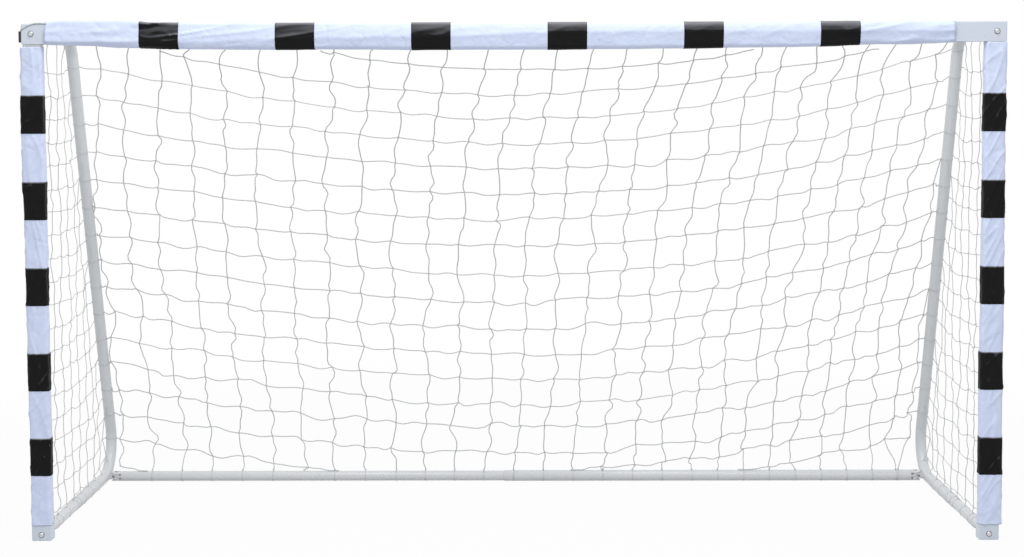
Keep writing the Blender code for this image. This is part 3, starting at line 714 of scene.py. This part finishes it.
def nylon(name, colour, shade, sheen, specular, painted_top_sheen=None):
    """Coated nylon: a fine weave and sharp creases. Where a colour is given, a painted sheen
    lightens what faces up.
    """
    cloth, place = new_finish(name)
    flat = cloth.node("UVMap", {"uv_map": "flat_cut"})
    weave = cloth.part(flat, 0).wave(0.0011) * cloth.part(flat, 1).wave(0.0011) * 0.5 + 0.5
    mottle = cloth.cloud(place, 0.075, 4.0, 0.6)
    soft_crease = cloth.cloud(place, 0.024, 3.0, 0.6)
    sharp_crease = (cloth.cloud(place, 0.060, 1.5, 0.5) - 0.5).size() * 9.0
    crease = soft_crease * 0.55 + sharp_crease.smallest(1.0) * 0.45
    tone = cloth.blend(mottle, rgb(*colour), rgb(*shade))
    tone = cloth.blend(weave * 0.10, tone, rgb(*(c * 0.82 for c in colour)))
    # Painted sheen: cloth that faces up is blended towards the given colour, standing in for the
    # light that upper facets catch.
    if painted_top_sheen:
        normal = cloth.node("NewGeometry", out=1)
        facing_up = (cloth.part(normal, 2) - 0.10) * 2.1
        facing_up = facing_up.largest(0.0).smallest(1.0)
        tone = cloth.blend(facing_up * (mottle * 0.3 + 0.85), tone, rgb(*painted_top_sheen))
    creased = cloth.relief(crease, 0.0020)
    return cloth.surface(
        Base_Color=tone,
        Roughness=0.48 + mottle * 0.14 + weave * 0.08,
        Specular_IOR_Level=specular,
        Sheen_Weight=sheen,
        Sheen_Roughness=0.45,
        Normal=cloth.relief(weave, 0.00012, creased),
    )


white_nylon = nylon("white_nylon", (221, 231, 254), (207, 217, 248), 0.25, 0.5)
# The black bands' last colour is a painted sheen on what faces up.
black_nylon = nylon("black_nylon", (21, 21, 22), (14, 14, 15), 0.02, 0.12, (124, 125, 130))

SLEEVE_LEFT, SLEEVE_RIGHT = -1.4262, 1.341


def lengthwise(x, section):
    behind, height = section.T
    return np.column_stack([np.full(len(section), x), FRONT_Y + behind, height])


def sleeve(owner, places, cut, band_count, lies_along):
    """A white sleeve and its black bands, which follow it a cloth's thickness further out."""
    name = f"{owner}_sleeve"
    bm, girth = cloth_tube(places, *cut)
    white = piece(f"{name}_cloth", bm, white_nylon, "front_frame", [name])
    thicken(white, CLOTH)
    for k in range(band_count):
        name = f"{owner}_band_{k + 1}"
        low, high = (corner[lies_along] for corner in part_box(name))
        places = np.linspace(low, high, BAND_STEPS)
        bm, band_girth = cloth_tube(places, *cut, lift=BAND_CLOTH)
        black = piece(f"{name}_cloth", bm, black_nylon, "front_frame", [name])
        thicken(black, BAND_CLOTH)


sleeve(
    "crossbar",
    np.linspace(SLEEVE_LEFT, SLEEVE_RIGHT, 420),
    (crossbar_section, crossbar_wrinkle, lengthwise),
    band_count=6,
    lies_along=0,
)


# Post sleeves and their bands.
# The same cloth and bands, pulled over the posts as tubes that are a little too wide, so the
# spare cloth hangs to one side of each post in soft folds.
POST_SPARE = {
    "left": (
        table((0.049, 0.0310), (0.60, 0.0330), (1.0, 0.0350), (1.2, 0.0390), (1.52, 0.0365)),
        table((0.049, 0.0300), (1.52, 0.0300)),
    ),
    "right": (
        table((0.049, 0.0300), (0.70, 0.0315), (1.52, 0.0325)),
        table((0.049, 0.0400), (0.60, 0.0360), (1.52, 0.0315)),
    ),
}
POST_SNUG = 0.0294
LEFT_SLEEVE_TOP = 1.5290
POST_SEEDS = {"left": (4.0, 6.0, 3.0, 20.0), "right": (8.0, 1.0, 5.0, 41.0)}


def post_section(hand):
    reach_left, reach_right = POST_SPARE[hand]
    left_seed, right_seed, bow_seed, _ = POST_SEEDS[hand]

    def section(z):
        """Outline at height z, as (distance from the post's middle, behind the front plane)."""
        left = max(reach_left(z) + 0.0016 * soft_noise(z * 5, left_seed, 0), POST_SNUG)
        right = max(reach_right(z) + 0.0014 * soft_noise(z * 6, right_seed, 0), POST_SNUG)
        bow = 0.0012 + 0.0012 * soft_noise(z * 4, 0, bow_seed)
        loose_left, loose_right = (
            max(0.0014, min(0.005, 1.3 * (reach - POST_SNUG))) for reach in (left, right)
        )
        leftward = [(-left + 0.006, 0.0428), (-left, 0.0330), (-left, 0.0012 + 2 * loose_left)]
        front = [(-left + loose_left, 0.0012), (-0.018, 0.0012 - bow), (0.018, 0.0010 - bow)]
        front.append((right - loose_right, 0.0012))
        rightward = [(right, 0.0012 + 2 * loose_right), (right, 0.0330), (right - 0.006, 0.0428)]
        return rounded([(0.0, 0.0432)] + leftward + front + rightward)

    return section


def post_wrinkle(hand):
    seed = POST_SEEDS[hand][-1]

    def wrinkle(z, step):
        share = step / AROUND
        front = math.sin(math.pi * np.clip((share - 0.12) / 0.78, 0, 1)) ** 0.6
        slant = z * 7.0 + share * 4.0
        folds = fold(soft_noise(slant, share * 3.0 + z, seed), 2.8)
        pulled = fold(soft_noise(z * 15 - share * 5.0, share * 2.0, seed + 7), 4.5)
        crumple = soft_noise(z * 24, share * 9, seed + 2) * 0.6
        return front * (0.0027 * folds + 0.0026 * pulled + 0.0013 * crumple)

    return wrinkle


for hand, side in HANDS:
    def upright(z, section, x=side * POST_X):
        off, behind = section.T
        return np.column_stack([x + off, FRONT_Y + behind, np.full(len(section), z)])

    low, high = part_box(f"{hand}_post_sleeve")
    top = LEFT_SLEEVE_TOP if hand == "left" else high.z
    sleeve(
        f"{hand}_post",
        np.linspace(low.z, top, 400),
        (post_section(hand), post_wrinkle(hand), upright),
        band_count=5,
        lies_along=2,
    )


# Strap at the left corner.
# A short grey webbing tape that comes out of the crossbar sleeve's end, lies slantwise over the
# front of the bracket and turns round its outer edge, where its folded end is sewn. That end's
# dark grey is painted shade, standing for the shadowed gap at the bracket's outer edge.
STRAP_WIDTH, STRAP_THICK = 0.0044, 0.0010
STRAP_END = Vector((0.0076, 0.0150, 0.0340))
STRAP_END_HEIGHT = 1.5605
strap_low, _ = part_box("left_corner_bracket")
STRAP_ROUTE = (
    (-1.4210, 1.5990), (-1.4300, 1.6005), (-1.4480, 1.6008), (-1.4580, 1.6000), (-1.4680, 1.5975),
    (-1.4780, 1.5935), (-1.4880, 1.5875), (-1.4950, 1.5835), (-1.4990, 1.5815),
)
bm = bmesh.new()
bmesh.ops.create_grid(bm, x_segments=2 * (len(STRAP_ROUTE) + 3), y_segments=2, size=0.5)
route = [(x, strap_low.y - 0.0007, z) for x, z in STRAP_ROUTE]
route += [(strap_low.x - 0.0006, strap_low.y + 0.0006, 1.5802)]
route += [(strap_low.x - 0.0008, strap_low.y + back, 1.5790) for back in (0.008, 0.016)]
route = np.array(route)
for vert in bm.verts:
    step = (vert.co.x + 0.5) * (len(route) - 1)
    before, spot, ahead = on_route(route, range(len(route)), (step - 0.5, step, step + 0.5))
    way = Vector(ahead - before).normalized()
    outward = Vector((0, -1, 0)) if abs(way.y) < 0.5 else Vector((-1, 0, 0))
    across = way.cross(outward).normalized()
    crown = 0.0003 * (1 - (2 * vert.co.y) ** 2)
    vert.co = Vector(spot) + across * (vert.co.y * STRAP_WIDTH) + outward * crown
webbing, webbing_place = new_finish("strap_webbing")
rib = webbing.part(webbing_place, 0).wave(0.0012) * 0.5 + 0.5
webbing_grime = webbing.cloud(webbing_place, 0.01, 3.0)
ribbed = webbing.blend(rib, rgb(200, 205, 205), rgb(176, 181, 182))
strap_webbing = webbing.surface(
    Base_Color=webbing.blend(webbing_grime, rgb(186, 191, 191), ribbed),
    Roughness=0.7 + rib * 0.1,
    Normal=webbing.relief(rib, 0.0002),
)
strap = piece("left_corner_strap", bm, strap_webbing, "front_frame")
thicken(strap, STRAP_THICK, offset=0.0)

bm = bmesh.new()
bmesh.ops.create_cube(bm, size=1.0)
bmesh.ops.scale(bm, verts=bm.verts, vec=STRAP_END)
middle = Vector((strap_low.x - 0.0042, strap_low.y + 0.0085, STRAP_END_HEIGHT))
bmesh.ops.translate(bm, verts=bm.verts, vec=middle)
bmesh.ops.bevel(
    bm, geom=bm.edges[:], offset=0.0024, segments=3, profile=0.5, affect="EDGES", material=-1
)
for vert in bm.verts:
    up = (vert.co.z - STRAP_END_HEIGHT) / STRAP_END.z + 0.5
    vert.co.x += 0.0008 * math.sin(up * math.pi * 3)
# The folded end's dark grey is painted shade of the gap beside the bracket.
strap_end, end_place = new_finish("strap_end")
end_rib = strap_end.part(end_place, 2).wave(0.0014) * 0.5 + 0.5
end_fade = strap_end.cloud(end_place, 0.008, 3.0)
painted_shade_end = strap_end.surface(
    Base_Color=strap_end.blend(end_fade * 0.6, rgb(58, 56, 58), rgb(92, 88, 90)),
    Roughness=0.7 + end_rib * 0.1,
    Specular_IOR_Level=0.2,
    Normal=strap_end.relief(end_rib, 0.0003),
)
piece("left_corner_strap_end", bm, painted_shade_end, "front_frame")


# Back net.
# Light grey twisted twine, 3.7 mm thick, knotted in meshes of about 100 mm. Its head rope runs
# behind the crossbar, its foot is tied to the rear bar, and the side tubes draw its rows up.
TWINE = 0.0037
THREAD = 0.0009
TIE_TURNS, TIE_STEPS = 2.2, 48


class Netting:
    """Cords and knots of one net, gathered into one mesh."""

    def __init__(self, thickness, sides=1):
        self.curve = bpy.data.curves.new("twine", "CURVE")
        self.curve.dimensions = "3D"
        self.curve.bevel_depth, self.curve.bevel_resolution = thickness / 2, sides
        self.curve.use_fill_caps = True
        self.knots = []

    def cord(self, points):
        spline = self.curve.splines.new("POLY")
        spline.points.add(len(points) - 1)
        for spot, point in zip(spline.points, points):
            spot.co = (*point, 1.0)

    def knot(self, place, size=0.0034, turn=0.0):
        self.knots.append((Vector(place), size, turn))

    def tie(self, place, heading, diameter, gap=0.0002, pitch=0.0020):
        """A thread wound round a tube, beginning at any angle about it."""
        turn = Vector((0, 0, 1)).rotation_difference(Vector(heading)).to_matrix()
        radius = diameter / 2 + THREAD / 2 + gap
        begin = float(chance.uniform(0, 6))
        points = []
        for share in np.linspace(0, 1, TIE_STEPS + 1):
            angle = begin + 2 * math.pi * TIE_TURNS * share
            rise = pitch * TIE_TURNS * (share - 0.5)
            round_it = Vector((radius * math.cos(angle), radius * math.sin(angle), rise))
            points.append(Vector(place) + turn @ round_it)
        self.cord(points)

    def bmesh(self):
        holder = bpy.data.objects.new("twine", self.curve)
        bpy.context.scene.collection.objects.link(holder)
        graph = bpy.context.evaluated_depsgraph_get()
        mesh = bpy.data.meshes.new_from_object(holder.evaluated_get(graph))
        bm = bmesh.new()
        bm.from_mesh(mesh)
        bpy.data.objects.remove(holder)
        for place, size, turn in self.knots:
            there = Matrix.Translation(place) @ Matrix.Rotation(turn, 4, (0.6, 0.64, 0.48))
            there = there @ Matrix.Diagonal((1.3, 0.9, 1.0, 1))
            bmesh.ops.create_icosphere(bm, subdivisions=1, radius=size, matrix=there)
        return bm


BEND_POINTS = 24


def rounded_leg():
    """The side tube's axis from its hinge pin, as (distance back, height)."""
    top_back = ARM_MOUTH_BACK + ARM_STRAIGHT
    low_back = RAIL_MOUTH_BACK + RAIL_STRAIGHT
    points = [(HINGE_BACK, ARM_Z)]
    for back, height, radius, start, end in (
        (top_back, ARM_Z - TOP_BEND, TOP_BEND, math.pi / 2, LEG_LEAN),
        (low_back, RAIL_Z + REAR_BEND, REAR_BEND, LEG_LEAN, -math.pi / 2),
    ):
        for angle in np.linspace(start, end, BEND_POINTS):
            points.append((back + radius * math.cos(angle), height + radius * math.sin(angle)))
    return np.array(points + [(HINGE_BACK, RAIL_Z)])


LEG_ROUTE = rounded_leg()
LEG_LENGTHS = travelled(LEG_ROUTE)


def on_leg(length):
    """(distance back, height) of the side tube's axis that far from its upper hinge pin."""
    return on_route(LEG_ROUTE, LEG_LENGTHS, length)


NET_TOP = np.array((0.0475, 1.5560))
NET_FOOT = np.array((0.7897, 0.0405))
NET_BILLOW, NET_SHOULDER = 0.060, 0.380
NET_ROWS, LOOSE_ROW = 17, 18
ROW_SHARES = (
    0, 0.074, 0.133, 0.187, 0.243, 0.298, 0.355, 0.410, 0.468, 0.532, 0.591, 0.649, 0.711,
    0.767, 0.827, 0.885, 0.954, 1.0, 1.0,
)
EDGE_X = POST_X - TUBE / 2 - TWINE / 2
LEFT_TIES = [0.115, 0.222, 0.338] + [0.438 + 0.1 * k for k in range(16)]
RIGHT_TIES = [0.130, 0.190, 0.2875] + [0.384 + 0.0965 * k for k in range(16)]
SHORT_ROWS = {1: (-0.597, 0.744, 2.4), 2: (-1.097, 1.130, 1.95)}
HEAD_SHARE = 0.030
NET_COLUMNS, HEAD_COLUMNS = 29, 27
ROWS, COLUMNS = range(1, LOOSE_ROW + 1), range(1, NET_COLUMNS + 1)
LAST_FOOT_IN = 0.050
LOOSE_REACH, LOOSE_ON_BAR = 0.080, 0.030
WIDEST_MESH = 0.25
# Where each numbered column hangs, from the goal's middle, at rows 0, 4, 8, 13 and 17.
COLUMN_ROWS = (0, 4, 8, 13, 17)
COLUMN_PLACES = {
    1: (-1.285, -1.400, -1.437, -1.428, -1.432),
    2: (-1.190, -1.305, -1.332, -1.320, -1.302),
    4: (-0.983, -1.071, -1.105, -1.100, -1.087),
    7: (-0.653, -0.725, -0.753, -0.757, -0.757),
    10: (-0.315, -0.378, -0.410, -0.420, -0.426),
    13: (0.041, -0.035, -0.068, -0.078, -0.113),
    17: (0.474, 0.404, 0.372, 0.335, 0.312),
    20: (0.763, 0.740, 0.682, 0.645, 0.630),
    24: (1.105, 1.127, 1.080, 1.028, 1.000),
    27: (1.360, 1.400, 1.349, 1.276, 1.275),
    28: (1.470, 1.500, 1.443, 1.357, 1.360),
    29: (1.600, 1.600, 1.530, 1.440, 1.418),
}
chance = np.random.default_rng(11)


def middle_line(share):
    """The net's line from the crossbar to the bar, which bellies back as the rows pull it."""
    fall = NET_FOOT - NET_TOP
    outward = np.array((-fall[1], fall[0])) / np.linalg.norm(fall)
    belly = share * (1 - share) * (4 * NET_BILLOW + NET_SHOULDER * (1 - 2 * share))
    return NET_TOP + fall * share + outward * belly


def column_x(column, row):
    heights = [np.interp(row, COLUMN_ROWS, COLUMN_PLACES[k]) for k in COLUMN_PLACES]
    return float(np.interp(column, list(COLUMN_PLACES), heights))


def pulled_up(x, row):
    """How far a row has left the middle line for its tie on the side tube, from 0 to 1."""
    share = min(1.0, abs(x) / EDGE_X)
    if row == LOOSE_ROW:
        start = 0.895 if x < 0 else 0.58
        return max(0.0, (share - start) / (1 - start)) ** 1.1
    if x > 0:
        return share**1.95
    if row == NET_ROWS:
        return max(0.0, (share - 0.45) / 0.55) ** 1.2
    return min(1.0, share / 0.97) ** 1.7


def net_place(x, row):
    """Where the back net is at x along one of its rows, before it is worked loose."""
    share = ROW_SHARES[row]
    if row in SHORT_ROWS:
        left, right, power = SHORT_ROWS[row]
        middle = (left + right) / 2 - 0.04
        reached = (x - middle) / ((right if x > middle else left) - middle)
        back, height = middle_line(share - (share - HEAD_SHARE) * min(1.0, reached) ** power)
    elif row == 0:
        back, height = NET_TOP
    else:
        pull = pulled_up(x, row)
        side = on_leg((LEFT_TIES if x < 0 else RIGHT_TIES)[row])
        back, height = middle_line(share) * (1 - pull) + side * pull
    return np.array((x, FRONT_Y + back, height))


def run_on(points, end, loose, steps=6, droop=0.0):
    """Carries a cord on to its next knot, in the waves that the twine keeps from its packing."""
    start, end = np.asarray(points[-1]), np.asarray(end)
    waves = [chance.normal(0, loose * share, 3) for share in (1.0, 0.75, 0.35)]
    for k in range(1, steps):
        share = k / steps
        wave = sum(w * math.sin((n + 1) * math.pi * share) for n, w in enumerate(waves))
        point = start + (end - start) * share + wave
        point[2] -= droop * 4 * share * (1 - share)
        points.append(point)
    points.append(end)


knots = {}
for row in ROWS:
    low_x, high_x = SHORT_ROWS.get(row, (-EDGE_X, EDGE_X, 0))[:2]
    margin = 0.03 if row in SHORT_ROWS else 0.004
    for column in COLUMNS:
        x = column_x(column, row)
        place = net_place(x, row)
        on_bar = place[2] < NET_FOOT[1] + 0.008
        if low_x + margin < x < high_x - margin and not on_bar:
            slack = 0.7 + 0.6 * ROW_SHARES[row]
            place += chance.normal(0, 1, 3) * (0.0062, 0.0030, 0.0036) * slack
            place[0] = max(-EDGE_X, min(EDGE_X, place[0]))
            place[2] = max(place[2], NET_FOOT[1] + 0.004)
            knots[column, row] = place

back_net = Netting(TWINE)
feet = []
head = [net_place(column_x(column, 0), 0) for column in range(1, HEAD_COLUMNS + 1)]
head_rope = [head[0]]
for end in head[1:]:
    run_on(head_rope, end, 0.0008, droop=0.001)
back_net.cord(head_rope)
for row in ROWS:
    chain = [knots[column, row] for column in COLUMNS if (column, row) in knots]
    if row in SHORT_ROWS:
        left, right, _ = SHORT_ROWS[row]
        chain = [net_place(left, row)] + chain + [net_place(right, row)]
    elif row < NET_ROWS:
        chain = [net_place(-EDGE_X, row)] + chain + [net_place(EDGE_X, row)]
    slack = 0.0016 + 0.0022 * ROW_SHARES[row]
    runs = [[chain[0]]]
    for end in chain[1:]:
        if end[0] - runs[-1][-1][0] > WIDEST_MESH:
            runs.append([end])
        else:
            run_on(runs[-1], end, slack, droop=0.001 + abs(chance.normal(0, slack)))
    if row in (NET_ROWS, LOOSE_ROW):
        if row == NET_ROWS:
            runs[0].insert(0, net_place(-EDGE_X, row))
            runs[-1].append(net_place(EDGE_X, row))
        for run, way in ((runs[0], 1), (runs[-1], -1)):
            inward = run[::way]
            crown = RAIL_Z + (INNER_TUBE if way > 0 else TUBE) / 2 + TWINE / 2
            foot = np.array((inward[-1][0] + way * LOOSE_REACH, BAR_Y - 0.004, crown))
            run_on(inward, foot, 0.002)
            run[:] = (inward + [foot + (way * LOOSE_ON_BAR, 0, 0)])[::way]
    for run in runs:
        if len(run) > 1:
            back_net.cord(run)
for column in COLUMNS:
    rows_here = [row for row in ROWS if (column, row) in knots]
    first = knots[column, rows_here[0]]
    if column <= HEAD_COLUMNS:
        points = [head[column - 1]]
        run_on(points, first, 0.004)
    else:
        points = [net_place(EDGE_X, max(rows_here[0] - 1, 2)), first]
    for row in rows_here[1:]:
        run_on(points, knots[column, row], 0.0052)
    foot = np.array((column_x(column, NET_ROWS), FRONT_Y + NET_FOOT[0], NET_FOOT[1]))
    if column == NET_COLUMNS:
        foot[0] -= LAST_FOOT_IN
    if column > 1:
        run_on(points, foot, 0.0035)
        feet.append(foot)
    back_net.cord(points)
for place in knots.values():
    back_net.knot(place, turn=float(chance.uniform(0, 3)))
for foot in feet:
    back_net.knot(foot, 0.0032, float(chance.uniform(0, 3)))

twine, twine_place = new_finish("net_twine")
fibre = twine.cloud(twine_place, 0.0012, 3.0, 0.6)
soil = twine.cloud(twine_place, 0.09, 3.0)
strand = twine.blend(fibre, rgb(196, 197, 198), rgb(219, 220, 221))
net_twine = twine.surface(
    Base_Color=twine.blend(soil * 0.7, strand, rgb(194, 192, 188)),
    Roughness=0.62 + fibre * 0.2,
    Normal=twine.relief(fibre, 0.00008),
)
net_mesh = back_net.bmesh()
net = piece("back_net_twine", net_mesh, net_twine, "front_frame", ["back_net"])

# The back net's ties: thin pale thread round the rear bar.
tie_thread = grained(
    "tie_thread", (0.0008, 2.0, 0.6), (206, 208, 211), (224, 225, 227), 0.5, 0.2, 0.00004
)
bar_ties = Netting(THREAD, 0)
CLEVIS_STOPS_AT = POST_X - (BAR_Y - FRONT_Y - HINGE_BACK)
for foot in feet:
    if abs(abs(foot[0]) - CLEVIS_STOPS_AT) > 0.022:
        diameter = INNER_TUBE if foot[0] < -BAR_PAST_MIDDLE else TUBE
        bar_ties.tie((foot[0], BAR_Y, RAIL_Z), (1, 0, 0), diameter, 0.0003, 0.0022)
foot_ties = piece("back_net_ties", bar_ties.bmesh(), tie_thread, "front_frame")
for soft in (net, foot_ties):
    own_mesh(soft)


# Side nets, and their ties round the tubes.
# Thinner twine in smaller meshes, tied to the arm, the leg and the rail with thin pale thread,
# and drawn to the back of the post.
SIDE_TWINE = 0.0026
SIDE_EDGE = TUBE / 2 + SIDE_TWINE / 2
SIDE_DROOP = 0.016
SIDE_FRONT_BACK = 0.0462
SIDE_START_BACK = SIDE_FRONT_BACK + 0.03
SIDE_BACKS = [SIDE_FRONT_BACK + 0.045 + column * 0.0915 for column in range(9)]
SIDE_ROW = 0.0735
SIDE_LOWEST = RAIL_Z + SIDE_EDGE + 0.030
SIDE_ROWS = int((ARM_Z - RAIL_Z - 2 * SIDE_EDGE) / SIDE_ROW)
FIRST_TIE_BACK = HINGE_BACK + TONGUE_REACH + PRESSED_LENGTH + 0.006
LAST_RAIL_TIE_BACK = REAR_BEND + RAIL_MOUTH_BACK + 0.2


def inside_frame(back, height):
    """Whether a point of the side net lies inside the bent tube."""
    backs, heights = LEG_ROUTE[: 2 * BEND_POINTS].T
    leg_back = np.interp(-height, -heights, backs)
    if back >= leg_back or not RAIL_Z + SIDE_EDGE <= height <= ARM_Z - SIDE_EDGE:
        return False
    starts, way = LEG_ROUTE[:-1], np.diff(LEG_ROUTE, axis=0)
    share = ((np.array((back, height)) - starts) * way).sum(1) / (way * way).sum(1)
    nearest = starts + way * np.clip(share, 0, 1)[:, None]
    return np.linalg.norm(nearest - (back, height), axis=1).min() >= SIDE_EDGE - 1e-4


def reach(start, way, most):
    """How far a line runs inside the bent tube."""
    low, high = 0.0, most
    for _ in range(24):
        middle = (low + high) / 2
        back, height = start[0] + way[0] * middle, start[1] + way[1] * middle
        low, high = (middle, high) if inside_frame(back, height) else (low, middle)
    return low


for hand, side in HANDS:
    x = side * POST_X
    body = f"{hand}_side_frame"
    side_net, ties = Netting(SIDE_TWINE), Netting(THREAD, 0)
    crossings = {}

    def side_place(back, height, end_back):
        """On the side net: it passes outside the leg and droops between the post and the leg."""
        near = eased(max(0.0, min(1.0, 1 - (end_back + SIDE_EDGE - back) / 0.22)))
        share = (back - SIDE_FRONT_BACK) / max(0.05, end_back - SIDE_FRONT_BACK)
        low = SIDE_DROOP * min(1.0, end_back / 0.5) * 4 * share * (1 - share)
        return np.array((x + side * SIDE_EDGE * near, FRONT_Y + back, height - max(0.0, low)))

    for row in range(SIDE_ROWS):
        height = SIDE_LOWEST + row * SIDE_ROW
        end_back = SIDE_START_BACK + reach((SIDE_START_BACK, height), (1, 0), 0.9)
        points = [np.array((x, FRONT_Y + SIDE_FRONT_BACK, height))]
        for column, back in enumerate(SIDE_BACKS):
            if back > end_back - 0.02:
                break
            end = side_place(back, height, end_back)
            end += chance.normal(0, 1, 3) * (0.0022, 0.0040, 0.0036)
            crossings[row, column] = end
            run_on(points, end, 0.0018, 5, 0.001 + abs(chance.normal(0, 0.003)))
        end = side_place(end_back + SIDE_EDGE, height, end_back)
        end[2] = height
        run_on(points, end, 0.0014, 4, 0.001)
        side_net.cord(points)
    for column, back in enumerate(SIDE_BACKS):
        inside = [row for row in range(SIDE_ROWS) if (row, column) in crossings]
        if not inside:
            continue
        low = SIDE_LOWEST + inside[0] * SIDE_ROW
        high = SIDE_LOWEST + inside[-1] * SIDE_ROW
        foot = low - reach((back, low), (0, -1), 0.2)
        head = high + reach((back, high), (0, 1), 0.3)
        tied = FRONT_Y + max(back, FIRST_TIE_BACK)
        points = [np.array((x, tied, foot))]
        for row in inside:
            run_on(points, crossings[row, column], 0.0019, 5)
        run_on(points, (x, tied, head), 0.0026, 5)
        side_net.cord(points)
        side_net.knot((x, tied, foot), 0.0022)
        if back < LAST_RAIL_TIE_BACK:
            diameter = TUBE if back > RAIL_MOUTH_BACK else INNER_TUBE
            ties.tie((x, tied, RAIL_Z), (0, 1, 0), diameter)
    for place in crossings.values():
        side_net.knot(place, 0.0029, float(chance.uniform(0, 3)))
    for length in (LEFT_TIES if side < 0 else RIGHT_TIES)[3:-1]:
        back, height = on_leg(length)
        heading = Vector((0, *(on_leg(length + 0.004) - (back, height)))).normalized()
        diameter = TUBE if back > ARM_MOUTH_BACK else INNER_TUBE
        ties.tie((x, FRONT_Y + back, height), heading, diameter)
    name = f"{hand}_side_net"
    net = piece(f"{name}_twine", side_net.bmesh(), net_twine, None, [name])
    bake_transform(net)
    piece(f"{hand}_net_ties", ties.bmesh(), tie_thread, body)
